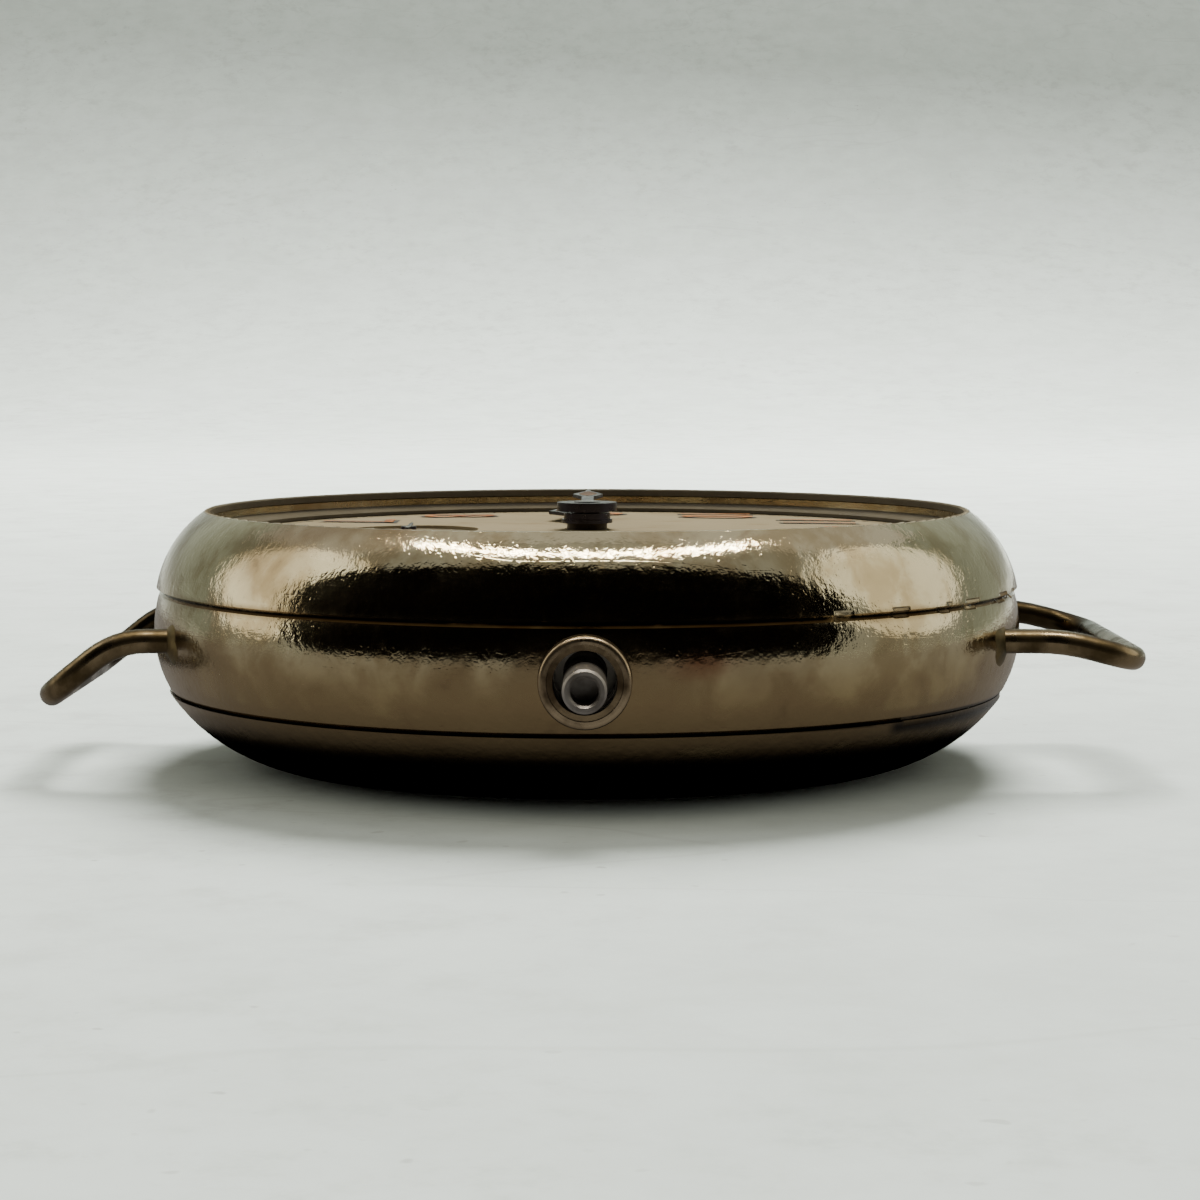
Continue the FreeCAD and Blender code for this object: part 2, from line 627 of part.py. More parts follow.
def make_stem_wheels():
    pinion = crown_teeth_on_axis(winding_pinion_radius, stem_core + running_fit, winding_pinion_x,
                                 winding_pinion_x + winding_pinion_width, 14, 0.35)
    write("winding_pinion", pinion)
    clutch = rod(clutch_radius, clutch_x, clutch_x + clutch_width)
    middle = clutch_x + clutch_width / 2
    neck = rod(clutch_radius + 1, middle - 0.3, middle + 0.3).cut(rod(clutch_groove, middle - 1, middle + 1))
    half = square_side / 2 + running_fit
    hole = block(clutch_x - 1, clutch_x + clutch_width + 1, -half, half, z_stem - half, z_stem + half)
    notches = []
    for tooth in range(8):
        notch = block(clutch_x - 0.1, clutch_x + 0.28, -0.22, 0.22, z_stem + 0.75, z_stem + 3)
        notch.rotate(Vector(0, 0, z_stem), Vector(1, 0, 0), 45.0 * tooth)
        notches.append(notch)
    write("clutch", clutch.cut(neck).cut(hole).cut(notches))


def make_setting_work():
    facing = heading(minute_at, setting_at) + 180
    z_wheel = z_motion + 0.15
    setting = gear(setting_teeth, motion_module, z_setting, z_wheel + wheel_height, setting_at, facing, False)
    setting = setting.cut(disc(setting_post + running_fit, 0, z_rim, setting_at))
    write("setting_wheel", setting)

    z_low = z_lever + running_fit
    z_high = z_low + lever_height
    pin_at = (lever_groove_x + lever_groove_width / 2, 0.0)
    lever = tapered_bar(setting_lever_at, 0.85, pin_at, 0.42, z_low, z_high)
    lever = lever.fuse(disc(0.2, z_stem + stem_core * 0.7 + 0.05, z_low + 0.1, pin_at))
    lever = lever.cut(disc(lever_post + running_fit, 0, z_rim, setting_lever_at))
    write("setting_lever", lever)
    post = disc(lever_post, z_lever - 1.0, z_high + running_fit, setting_lever_at)
    head = disc(0.62, z_high + running_fit, z_high + running_fit + 0.25, setting_lever_at)
    write("setting_lever_screw", post.fuse(head))

    finger_x = clutch_x + clutch_width / 2
    yoke = tapered_bar(yoke_at, 0.8, (finger_x, -0.1), 0.35, z_low, z_high)
    finger = block(finger_x - 0.13, finger_x + 0.13, -0.25, 0.25, z_stem + clutch_groove + 0.08, z_low + 0.1)
    yoke = yoke.fuse(finger).cut(disc(lever_post + running_fit, 0, z_rim, yoke_at))
    write("yoke", yoke)

    z_cover = z_high + running_fit
    cover = prism([(setting_at[0] - 0.9, -1.0), (yoke_at[0] + 0.2, yoke_at[1] - 0.9),
                   (yoke_at[0] + 1.0, yoke_at[1] + 0.3), (finger_x + 0.3, 0.6),
                   (cover_screw_at[0] + 0.9, cover_screw_at[1] + 0.9),
                   (cover_screw_at[0] - 0.9, cover_screw_at[1] + 0.9), (setting_at[0] - 0.9, 1.2)],
                  z_cover, z_cover + 0.3)
    cover = cover.fuse(disc(0.8, z_lever, z_cover, cover_screw_at))
    cover = cover.cut(disc(0.3 + pivot_fit, 0, z_rim, cover_screw_at))
    write("setting_cover", cover)
    cover_screw = disc(0.3, z_lever - 0.8, z_cover + 0.3, cover_screw_at)
    cover_screw = cover_screw.fuse(disc(0.55, z_cover + 0.3, z_cover + 0.5, cover_screw_at))
    write("setting_cover_screw", cover_screw)


z_setting = z_stem + clutch_radius + 0.05


# ---------------------------------------------------------------- barrel and train

z_barrel = z_train + 0.5
barrel_flange = 0.4
z_barrel_top = z_barrel + 1.5
drum_radius = barrel_teeth * barrel_module / 2 - 0.3
drum_wall = 0.35
arbor_core = 1.3
arbor_journal = 0.7
z_train_pivots = (z_bridge + 0.15, z_plate + 0.6)


def make_barrel():
    flange = gear(barrel_teeth, barrel_module, z_barrel, z_barrel + barrel_flange, barrel_at,
                  heading(barrel_at, centre_at))
    drum = flange.fuse(disc(drum_radius, z_barrel, z_barrel_top, barrel_at))
    cavity = disc(drum_radius - drum_wall, z_barrel + 0.25, z_barrel_top + 1, barrel_at)
    drum = drum.cut([cavity, disc(arbor_journal + running_fit, 0, z_dial, barrel_at)])
    write("barrel_drum", drum)
    cover = ring(drum_radius - drum_wall - pivot_fit, arbor_journal + running_fit,
                 z_barrel_top - 0.25, z_barrel_top, barrel_at)
    write("barrel_cover", cover)

    core = disc(arbor_core, z_barrel + 0.3, z_barrel_top - 0.3, barrel_at)
    journal = disc(arbor_journal, z_bridge + 0.0, z_barrel_top + 0.05, barrel_at)
    pivot = disc(0.5, z_barrel_top, z_barrel_top + 0.5, barrel_at)
    side = arbor_square / 2 - running_fit
    square = block(-side, side, -side, side, z_ratchet, z_bridge + 0.1)
    square.translate(Vector(barrel_at[0], barrel_at[1], 0))
    square = square.common(disc(arbor_journal, z_ratchet, z_bridge + 0.1, barrel_at))
    arbor = core.fuse([journal, pivot, square])
    write("barrel_arbor", arbor.cut(disc(ratchet_shank + pivot_fit, 0, z_train + 0.1, barrel_at)))

    turns, strip, steps = 9, 0.12, 24
    inner = arbor_core + running_fit
    outer = drum_radius - drum_wall - pivot_fit - strip
    outside, inside = [], []
    for step in range(turns * steps + 1):
        radius = inner + (outer - inner) * step / (turns * steps)
        inside.append(polar(radius, 360.0 * step / steps, barrel_at))
        outside.append(polar(radius + strip, 360.0 * step / steps, barrel_at))
    write("mainspring", prism(inside + outside[::-1], z_barrel + 0.32, z_barrel_top - 0.32))


def make_train():
    low, high = z_train_pivots
    z_centre_wheel = z_train + 0.1
    z_third_wheel = z_train + 0.9
    z_fourth_wheel = z_train + 0.45
    z_escape_wheel = z_train + 1.0

    facing = (heading(centre_at, third_at), heading(centre_at, barrel_at))
    z_wheel_top = z_centre_wheel + wheel_height
    wheel = gear(centre_teeth, centre_module, z_centre_wheel, z_wheel_top, centre_at, facing[0])
    rim = centre_teeth * centre_module / 2 - centre_module - 0.35
    wheel = wheel.cut(crossings(5, 1.2, rim, 0.5, z_centre_wheel, z_wheel_top, centre_at))
    pinion = gear(centre_leaves, barrel_module, z_wheel_top, z_barrel + barrel_flange + 0.1,
                  centre_at, facing[1], False)
    arbor = disc(0.5, z_train + 0.05, z_plate - 0.05, centre_at)
    pivot = disc(centre_post_radius, z_bridge + 0.1, z_cannon_top - 0.2, centre_at)
    write("centre_wheel", wheel.fuse([pinion, arbor, pivot]))

    third = train_wheel(third_teeth, third_module, third_leaves, centre_module, third_at,
                        (z_third_wheel, z_centre_wheel - 0.02),
                        (heading(third_at, fourth_at), heading(third_at, centre_at)), (low, high))
    write("third_wheel", third)

    z_seconds = dial_top(seconds_offset) - sub_dial_depth + 0.12
    fourth = train_wheel(fourth_teeth, fourth_module, fourth_leaves, third_module, fourth_at,
                         (z_fourth_wheel, z_third_wheel - 0.1),
                         (heading(fourth_at, escape_at), heading(fourth_at, third_at)),
                         (low, z_seconds + hand_height))
    fourth = fourth.cut(ring(1.0, pivot_radius, z_plate - 0.05, z_rim, fourth_at))
    write("fourth_wheel", fourth)

    pitch = 360.0 / escape_teeth
    points = []
    for tooth in range(escape_teeth):
        start = pitch * tooth
        points.append(polar(escape_radius - 0.45, start, escape_at))
        points.append(polar(escape_radius, start + pitch * 0.18, escape_at))
        points.append(polar(escape_radius, start + pitch * 0.36, escape_at))
        points.append(polar(escape_radius - 0.45, start + pitch * 0.42, escape_at))
    wheel = prism(points, z_escape_wheel, z_escape_wheel + 0.15)
    windows = crossings(4, 0.6, escape_radius - 0.7, 0.22, z_escape_wheel, z_escape_wheel + 0.2, escape_at)
    wheel = wheel.cut(windows)
    pinion = gear(escape_leaves, fourth_module, z_fourth_wheel - 0.05, z_fourth_wheel + wheel_height + 0.05,
                  escape_at, heading(escape_at, fourth_at), False)
    arbor = disc(arbor_radius, z_train + end_shake, z_plate - end_shake, escape_at)
    write("escape_wheel", wheel.fuse([pinion, arbor, disc(pivot_radius, low, high, escape_at)]))


# ---------------------------------------------------------------- escapement and balance

z_pallet = z_train + 1.0
z_pallet_cock = z_train + 0.68
pallet_cock_height = 0.25
z_balance = z_train + 0.3
roller_radius = 0.9


def make_pallets():
    to_balance = heading(pallet_at, balance_at)
    fork_length = math.hypot(balance_at[0] - pallet_at[0], balance_at[1] - pallet_at[1])
    fork_length -= roller_radius + 0.12
    z_high = z_pallet + 0.16
    arm = tapered_bar(pallet_at, 0.34, polar(fork_length - 0.3, to_balance, pallet_at), 0.2, z_pallet, z_high)
    horn_tip = polar(fork_length, to_balance, pallet_at)
    horns = disc(0.32, z_pallet, z_high, polar(fork_length - 0.32, to_balance, pallet_at))
    horns = horns.cut(disc(0.14, 0, z_dial, horn_tip))
    fork = arm.fuse(horns)
    stones = []
    for side in (-1, 1):
        stone_at = polar(escape_radius + 0.28, to_balance + side * 38, escape_at)
        wing = tapered_bar(pallet_at, 0.3, stone_at, 0.18, z_pallet, z_high)
        fork = fork.fuse(wing)
        stones.append((stone_at, to_balance + side * 38))
    solids = []
    for stone_at, angle in stones:
        stone = block(-0.25, 0.05, -0.14, 0.14, z_pallet - 0.02, z_high + 0.02)
        stone.rotate(Vector(0, 0, 0), Vector(0, 0, 1), angle)
        stone.translate(Vector(stone_at[0], stone_at[1], 0))
        solids.append(stone)
    fork = fork.cut(solids)
    fork = fork.cut(disc(escape_radius + 0.09, 0, z_dial, escape_at))
    low, high = z_pallet_cock, z_plate + 0.5
    staff = disc(0.2, z_pallet_cock + pallet_cock_height + 0.02, z_plate - 0.02, pallet_at)
    staff = staff.fuse(disc(pivot_radius, low, high, pallet_at))
    write("pallet_fork", fork.fuse(staff))
    write("pallet_stones", group(solids))


def make_balance():
    rim = ring(balance_radius - 0.15, balance_radius - 0.15 - balance_rim, z_balance,
               z_balance + balance_height, balance_at)
    arm = block(-balance_radius + 0.4, balance_radius - 0.4, -0.22, 0.22, z_balance, z_balance + 0.2)
    arm.rotate(Vector(0, 0, 0), Vector(0, 0, 1), 40)
    arm.translate(Vector(balance_at[0], balance_at[1], 0))
    wheel = rim.fuse([arm, disc(0.55, z_balance, z_balance + 0.2, balance_at)])
    holes, screws = [], []
    for count in range(12):
        angle = 40 + 15 + 30 * count
        outward = Vector(math.cos(math.radians(angle)), math.sin(math.radians(angle)), 0)
        centre = Vector(balance_at[0], balance_at[1], z_balance + balance_height / 2)
        seat = centre + outward * (balance_radius - 0.15 - balance_rim + 0.1)
        holes.append(Part.makeCylinder(0.07, 1, seat, outward))
        head = Part.makeCylinder(0.15, 0.14, centre + outward * (balance_radius - 0.14), outward)
        shank = Part.makeCylinder(0.06, 0.26, seat + outward * 0.01, outward)
        screws.append(head.fuse(shank))
    wheel = wheel.cut(holes).cut(disc(staff_seat + pivot_fit, 0, z_dial, balance_at))
    write("balance_wheel", wheel)
    write("balance_screws", group(screws))
    staff = disc(staff_seat, z_train + 0.1, z_plate - 0.05, balance_at)
    staff = staff.fuse(disc(pivot_radius, z_balance_ends[0], z_balance_ends[1], balance_at))
    write("balance_staff", staff)
    roller = ring(roller_radius, staff_seat + pivot_fit, z_pallet + 0.2, z_pallet + 0.4, balance_at)
    pin_at = polar(roller_radius - 0.18, heading(balance_at, pallet_at), balance_at)
    write("impulse_roller", roller.cut(disc(0.11, 0, z_dial, pin_at)))
    write("impulse_jewel", disc(0.1, z_pallet - 0.03, z_pallet + 0.4, pin_at))
    collet = ring(0.5, staff_seat + pivot_fit, z_hairspring, z_hairspring + 0.16, balance_at)
    write("hairspring_collet", collet)
    turns, strip, steps = 8, 0.05, 30
    inner, outer = 0.56, 2.35
    outside, inside = [], []
    for step in range(turns * steps + 1):
        radius = inner + (outer - inner) * step / (turns * steps)
        angle = stud_angle + 360.0 * step / steps
        inside.append(polar(radius, angle, balance_at))
        outside.append(polar(radius + strip, angle, balance_at))
    write("hairspring", prism(inside + outside[::-1], z_hairspring, z_hairspring + 0.14))
    stud_at = polar(outer + strip + 0.2, stud_angle, balance_at)
    write("hairspring_stud", disc(0.2, z_bridge - 0.1, z_hairspring + 0.14, stud_at))


staff_seat = 0.25
z_hairspring = z_train + 0.13
z_balance_ends = (z_bridge + 0.12, z_plate + 0.7)
stud_angle = 45.0


def make_regulator():
    boss = ring(1.35, 0.8 + running_fit, z_bridge - 0.25, z_bridge, balance_at)
    pointer = tapered_bar(polar(1.1, 110, balance_at), 0.22, polar(3.6, 110, balance_at), 0.1,
                          z_bridge - 0.25, z_bridge)
    boss = boss.fuse(pointer.cut(disc(1.1, 0, z_dial, balance_at)))
    write("regulator", boss)


# ---------------------------------------------------------------- plate, bridges and jewels

def jewel_seats(z_low, z_high, places):
    return [disc(jewel_radius, z_low, z_high, place) for place in places]


def make_jewels():
    low, high = z_train_pivots
    jewels = []
    for place in train_places[:3]:
        jewels.append(ring(jewel_radius, pivot_radius + pivot_fit, z_train - jewel_height, z_train, place))
    for place in train_places:
        jewels.append(ring(jewel_radius, pivot_radius + pivot_fit, z_plate, z_plate + jewel_height, place))
    write("train_jewels", group(jewels))
    hole = pivot_radius + pivot_fit
    ends = []
    ends.append(ring(jewel_radius, hole, z_bridge + 0.15, z_bridge + 0.15 + jewel_height, balance_at))
    ends.append(ring(jewel_radius, hole, z_plate + 0.3, z_plate + 0.3 + jewel_height, balance_at))
    ends.append(disc(jewel_radius, z_bridge - 0.15, z_bridge + 0.1, balance_at))
    ends.append(disc(jewel_radius, z_plate + 0.72, z_plate + 1.0, balance_at))
    write("balance_jewels", group(ends))


def make_main_plate():
    plate = disc(movement_radius, z_plate, z_dial).fuse(disc(flange_radius, z_flange, z_dial))
    motion_radius = hour_teeth * hour_module / 2 + 0.35
    reach_minute = minute_teeth * motion_module / 2 + 0.3
    reach_setting = setting_teeth * motion_module / 2 + 0.3
    cuts = [disc(motion_radius, z_motion, z_dial + 1), disc(reach_minute, z_motion, z_dial + 1, minute_at)]
    cuts.append(disc(reach_setting, z_setting - 0.05, z_dial + 1, setting_at))
    pocket = block(setting_at[0] - 1, movement_radius, -4.6, 4.8, z_lever, z_dial + 1)
    cuts.append(pocket.common(disc(movement_radius - 0.3, 0, z_rim)))
    barrel_reach = barrel_teeth * barrel_module / 2 + barrel_module + 0.1
    cuts.append(disc(barrel_reach, z_plate - 1, z_barrel_top + 0.08, barrel_at))
    cuts.append(disc(0.52, 0, z_barrel_top + 0.6, barrel_at))
    cuts.append(disc(centre_post_radius + running_fit, 0, z_rim))
    clutch_room = clutch_radius + 0.1
    cuts.append(block(clutch_x - stem_travel - 0.05, winding_pinion_x, -clutch_room, clutch_room,
                      0, z_stem + clutch_room))
    cuts.append(block(winding_pinion_x - 1.8, winding_pinion_x, -0.75, 0.75, z_plate, z_dial))
    pinion_room = winding_pinion_radius + 0.1
    pinion_end = winding_pinion_x + winding_pinion_width + 0.03
    cuts.append(block(winding_pinion_x - 0.03, pinion_end, -pinion_room, pinion_room,
                      0, z_stem + pinion_room))
    cuts.append(rod(stem_core + running_fit, pinion_end - 0.1, lever_groove_x))
    cuts.append(rod(stem_radius + running_fit, lever_groove_x - 0.4, flange_radius + 1))
    finger_x = clutch_x + clutch_width / 2
    cuts.append(block(finger_x - stem_travel - 0.4, finger_x + 0.4, -1.15, 0.6, z_plate, z_dial))
    pin_x = lever_groove_x + lever_groove_width / 2
    cuts.append(block(pin_x - 0.4, pin_x + stem_travel + 0.4, -0.35, 0.75, z_plate, z_dial))
    for place in train_places:
        cuts.append(disc(jewel_radius, z_plate - 1, z_plate + jewel_height, place))
        cuts.append(disc(jewel_radius * 0.6, z_plate, z_plate + 0.75, place))
    cuts.append(disc(jewel_radius, z_plate - 1, z_plate + 1.0, balance_at))
    cuts.append(disc(0.35, 0, z_rim, fourth_at))
    for angle in case_screw_angles:
        cuts.append(disc(0.35 + pivot_fit, 0, z_plate + 1.7, polar(movement_radius - 0.5, angle)))
    for place in bridge_screw_places + [cock_foot_at]:
        cuts.append(disc(screw_shank + pivot_fit, 0, z_plate + 1.1, place))
    cuts.append(disc(0.3 + pivot_fit, 0, z_plate + 1.0, pallet_foot_at))
    cuts.append(disc(lever_post + pivot_fit, z_lever - 1.1, z_dial, setting_lever_at))
    cuts.append(disc(0.3 + pivot_fit, z_lever - 0.9, z_dial, cover_screw_at))
    for place in dial_feet:
        cuts.append(disc(0.4 + pivot_fit, z_dial - 1.7, z_rim, place))
        outward = Vector(place[0], place[1], 0).normalize()
        start = Vector(place[0], place[1], z_dial - dial_screw_drop)
        hole_length = flange_radius + 0.5 - math.hypot(place[0], place[1])
        cuts.append(Part.makeCylinder(dial_screw_radius + pivot_fit, hole_length, start, outward))
    plate = plate.cut(cuts)
    pilot = block(pilot_x + 0.05, pilot_x + 0.8, -0.5, 0.5, z_stem - 0.65, z_plate)
    posts = [disc(minute_post, z_motion - 0.1, z_dial - 0.15, minute_at)]
    posts.append(disc(setting_post, z_setting - 0.1, z_lever + lever_height, setting_at))
    posts.append(disc(lever_post, z_lever - 0.1, z_lever + lever_height, yoke_at))
    plate = plate.fuse([pilot] + posts)
    plate = plate.cut(rod(pilot_radius + running_fit, 0, pilot_x + 1.1))
    write("main_plate", plate)


def bridge_outline(points, z_low, z_high):
    return prism(points, z_low, z_high).common(disc(movement_radius - 0.15, z_low, z_high))


def foot_ring(inner, first, last):
    """The part of a bridge that stands on the plate."""
    foot = ring(movement_radius - 0.15, inner, z_train - 0.1, z_plate)
    return foot.common(sector(movement_radius, first, last, 0, z_dial))


def make_bridges():
    far = movement_radius * 1.2
    edge = [(-3.0, -1.4), (3.2, -1.4), (5.2, -3.35), (far, -3.35 - (far - 5.2) / 6)]
    top = [(-6.0, 12.6), (-far * 0.44, far), (far, far)]
    barrel_bridge = bridge_outline(edge + top[::-1], z_bridge, z_train)
    barrel_bridge = barrel_bridge.fuse(foot_ring(movement_radius - 1.2, -17, 118))
    cuts = [disc(arbor_journal + running_fit, 0, z_dial, barrel_at)]
    cuts.append(ring(crown_radius - 0.15, crown_radius - 0.85, 0, z_bridge + 0.47, crown_at))
    cuts.append(disc(0.5 + pivot_fit, 0, z_dial, crown_at))
    cuts.append(disc(0.4 + pivot_fit, 0, z_dial, click_at))
    cuts.append(disc(centre_post_radius + running_fit, 0, z_dial))
    room = winding_pinion_radius + 0.1
    cuts.append(block(winding_pinion_x - 0.03, winding_pinion_x + winding_pinion_width + 0.03, -room, room,
                      z_bridge + 0.3, z_dial))
    cuts.append(rod(stem_radius + running_fit, winding_pinion_x, flange_radius + 1))
    for place in bridge_screw_places[:3]:
        cuts.append(screw_hole(place, z_bridge + screw_head, z_plate))
    crown_post = disc(crown_boss, z_ratchet, z_bridge + 0.1, crown_at)
    click_post = disc(0.4, z_ratchet, z_bridge + 0.1, click_at)
    barrel_bridge = barrel_bridge.fuse([crown_post, click_post]).cut(cuts)
    write("barrel_bridge", barrel_bridge)

    gap = 0.15
    low_edge = [(-2.2, -1.4 - gap), (3.14, -1.4 - gap), (5.14, -3.35 - gap),
                (far, -3.35 - gap - (far - 5.14) / 6)]
    bottom = [(far, -far), (-6.8, -far), (-6.6, -11.6), (-4.7, -8.9), (-3.3, -6.0)]
    train_bridge = bridge_outline(low_edge + bottom, z_bridge, z_train)
    train_bridge = train_bridge.fuse(foot_ring(movement_radius - 1.6, -112, -34))
    cuts = jewel_seats(z_train - jewel_height, z_dial, train_places[:3])
    cuts += [disc(jewel_radius * 0.6, 0, z_dial, place) for place in train_places[:3]]
    for place in bridge_screw_places[3:]:
        cuts.append(screw_hole(place, z_bridge + screw_head, z_plate))
    cuts.append(disc(1.0, 0, z_dial, polar(movement_radius - 0.5, case_screw_angles[1])))
    write("train_bridge", train_bridge.cut(cuts))

    cock = tapered_bar(cock_foot_at, 2.1, balance_at, 1.5, z_bridge, z_train)
    foot = disc(2.1, z_train - 0.1, z_plate, cock_foot_at)
    cock = cock.fuse(foot).common(disc(movement_radius - 0.15, 0, z_rim))
    cuts = [screw_hole(cock_foot_at, z_bridge + screw_head, z_plate)]
    cuts.append(disc(jewel_radius, z_bridge - 1, z_bridge + 0.5, balance_at))
    cuts.append(disc(0.35, 0, z_dial, balance_at))
    cock = cock.cut(cuts)
    cap_ring = ring(0.8, jewel_radius, z_bridge - 0.25, z_bridge + 0.1, balance_at)
    stud_place = polar(2.6, stud_angle, balance_at)
    stud_arm = tapered_bar(polar(1.2, stud_angle, balance_at), 0.4, stud_place, 0.45, z_bridge, z_train)
    stud_arm = stud_arm.cut(disc(1.2, 0, z_dial, balance_at))
    cock = cock.fuse([cap_ring, stud_arm]).cut(disc(0.2 + pivot_fit, 0, z_dial, stud_place))
    write("balance_cock", cock)

    pallet_cock = tapered_bar(pallet_foot_at, 0.85, pallet_at, 0.6, z_pallet_cock,
                              z_pallet_cock + pallet_cock_height)
    pallet_cock = pallet_cock.fuse(disc(0.85, z_pallet_cock, z_plate, pallet_foot_at))
    cuts = [disc(pivot_radius + pivot_fit, 0, z_dial, pallet_at)]
    cuts.append(disc(0.3 + pivot_fit, 0, z_dial, pallet_foot_at))
    write("pallet_cock", pallet_cock.cut(cuts))
    write("pallet_cock_screw", screw(pallet_foot_at, z_pallet_cock, z_plate + 0.9, 0.6, 0.3, 10.0))
    places = bridge_screw_places + [cock_foot_at]
    screws = [screw(place, z_bridge + screw_head, z_plate + 1.0, slot_angle=40.0 + 37 * count)
              for count, place in enumerate(places)]
    write("bridge_screws", group(screws))


make_case_band()
make_bezel()
make_case_back()
make_lug("lug_wire_12", 1, lug_reach_12, lug_drop_12, lug_knee_share_12)
make_lug("lug_wire_6", -1, lug_reach_6, lug_drop_6, lug_knee_share_6)
make_tube()
make_case_screws()
make_dial()
make_hands()
make_motion_work()
make_winding_work()
make_stem()
make_stem_wheels()
make_setting_work()
make_barrel()
make_train()
make_pallets()
make_balance()
make_regulator()
make_jewels()
make_main_plate()
make_bridges()
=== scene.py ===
import json
import math

import bpy
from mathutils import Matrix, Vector


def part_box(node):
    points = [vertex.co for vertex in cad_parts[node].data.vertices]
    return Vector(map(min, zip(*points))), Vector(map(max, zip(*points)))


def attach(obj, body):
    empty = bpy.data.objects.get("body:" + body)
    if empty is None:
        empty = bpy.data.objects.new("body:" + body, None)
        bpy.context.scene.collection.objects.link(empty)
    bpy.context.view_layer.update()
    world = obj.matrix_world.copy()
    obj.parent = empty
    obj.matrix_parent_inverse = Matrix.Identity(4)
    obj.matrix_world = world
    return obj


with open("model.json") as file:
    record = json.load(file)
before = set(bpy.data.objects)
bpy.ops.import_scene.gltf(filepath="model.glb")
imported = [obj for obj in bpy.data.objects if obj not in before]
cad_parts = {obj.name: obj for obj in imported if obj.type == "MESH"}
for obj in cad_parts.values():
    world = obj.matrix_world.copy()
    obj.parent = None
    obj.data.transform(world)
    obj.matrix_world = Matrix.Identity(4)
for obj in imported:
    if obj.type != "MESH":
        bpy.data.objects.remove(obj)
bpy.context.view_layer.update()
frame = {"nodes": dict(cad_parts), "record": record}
nodes = frame["nodes"]
mm = 0.001


# the frame's own sizes, in millimetres
def lowest(node, axis):
    return round(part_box(node)[0][axis] / mm, 2)


def highest(node, axis):
    return round(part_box(node)[1][axis] / mm, 2)


case = {"radius": highest("case_band", 1), "widestAt": 5.15, "barrelling": 0.115,
        "bezelSeam": lowest("bezel", 2), "backSeam": 2.9,
        "tubeHeight": (lowest("pendant_tube", 2) + highest("pendant_tube", 2)) / 2,
        "tubeMouth": highest("pendant_tube", 0)}


# shader maths as plain expressions
class Wire:
    def __init__(self, finish, socket):
        self.finish = finish
        self.socket = socket

    def __add__(self, other):
        return self.finish.math("ADD", self, other)

    def __radd__(self, other):
        return self.finish.math("ADD", other, self)

    def __sub__(self, other):
        return self.finish.math("SUBTRACT", self, other)

    def __rsub__(self, other):
        return self.finish.math("SUBTRACT", other, self)

    def __mul__(self, other):
        return self.finish.math("MULTIPLY", self, other)

    def __rmul__(self, other):
        return self.finish.math("MULTIPLY", other, self)

    def __pow__(self, other):
        return self.finish.math("POWER", self, other)


class Finish:
    def __init__(self, name, fixed):
        self.material = bpy.data.materials.new(name)
        self.material.use_nodes = True
        self.tree = self.material.node_tree
        self.shader = next(n for n in self.tree.nodes if n.type == "BSDF_PRINCIPLED")
        for socket, value in fixed.items():
            self.shader.inputs[socket].default_value = value
        self.place = self.node("ShaderNodeTexCoord", output="Object")
        self.x, self.y, self.z = self.split(self.place)

    def node(self, kind, settings=None, inputs=None, output=0):
        made = self.tree.nodes.new(kind)
        for name, value in (settings or {}).items():
            setattr(made, name, value)
        for name, value in (inputs or {}).items():
            if isinstance(value, Wire):
                self.tree.links.new(value.socket, made.inputs[name])
            else:
                made.inputs[name].default_value = value
        return Wire(self, made.outputs[output])

    def math(self, operation, *values):
        return self.node("ShaderNodeMath", {"operation": operation}, dict(enumerate(values)))

    def most(self, first, second):
        return self.math("MAXIMUM", first, second)

    def away(self, first, second):
        return self.math("SQRT", first ** 2.0 + second ** 2.0)

    def split(self, vector):
        parts = self.node("ShaderNodeSeparateXYZ", inputs={0: vector}).socket.node
        return [Wire(self, parts.outputs[axis]) for axis in range(3)]

    def stretched(self, x, y, z):
        return self.node("ShaderNodeVectorMath", {"operation": "MULTIPLY"}, {0: self.place, 1: (x, y, z)})

    def grain(self, scale, detail=3.0, rough=0.55, place=None, warp=0.0):
        wires = {"Vector": place or self.place, "Scale": scale, "Detail": detail,
                 "Roughness": rough, "Distortion": warp}
        return self.node("ShaderNodeTexNoise", inputs=wires)

    # 0 below low, 1 above high
    def ramp(self, value, low, high):
        return self.node("ShaderNodeMapRange", {"interpolation_type": "SMOOTHSTEP"},
                         {0: value, 1: low, 2: high, 3: 0.0, 4: 1.0})

    # 1 at the middle, 0 from width away
    def bell(self, value, middle, width):
        off = self.math("ABSOLUTE", value - middle)
        return 1.0 - self.ramp(off, 0.0, width)

    def tint(self, factor, under, over):
        return self.node("ShaderNodeMix", {"data_type": "RGBA"},
                         {0: factor, 6: colour(under), 7: colour(over)}, output=2)

    def bump(self, height, depth):
        return self.node("ShaderNodeBump", inputs={"Strength": 1.0, "Distance": depth * mm, "Height": height})

    def feed(self, **wires):
        names = {"base": "Base Color", "rough": "Roughness", "metal": "Metallic", "normal": "Normal",
                 "glow": "Emission Color"}
        for name, wire in wires.items():
            self.tree.links.new(wire.socket, self.shader.inputs[names[name]])
        return self.material


def colour(value):
    return value if isinstance(value, Wire) else (*value, 1.0)


print("camera and light")
view = {"distance": 113.4 * mm, "side": 0.5 * mm, "height": 16.0 * mm, "down": 4.985, "lens": 88.1,
        "sensor": 36, "nearest": 1 * mm}
camera = bpy.data.objects.new("camera", bpy.data.cameras.new("camera"))
bpy.context.scene.collection.objects.link(camera)
camera.location = (view["distance"], view["side"], view["height"])
camera.rotation_euler = (math.radians(90 - view["down"]), 0, math.radians(90))
camera.data.lens = view["lens"]
camera.data.sensor_width = view["sensor"]
camera.data.clip_start = view["nearest"]
bpy.context.scene.camera = camera

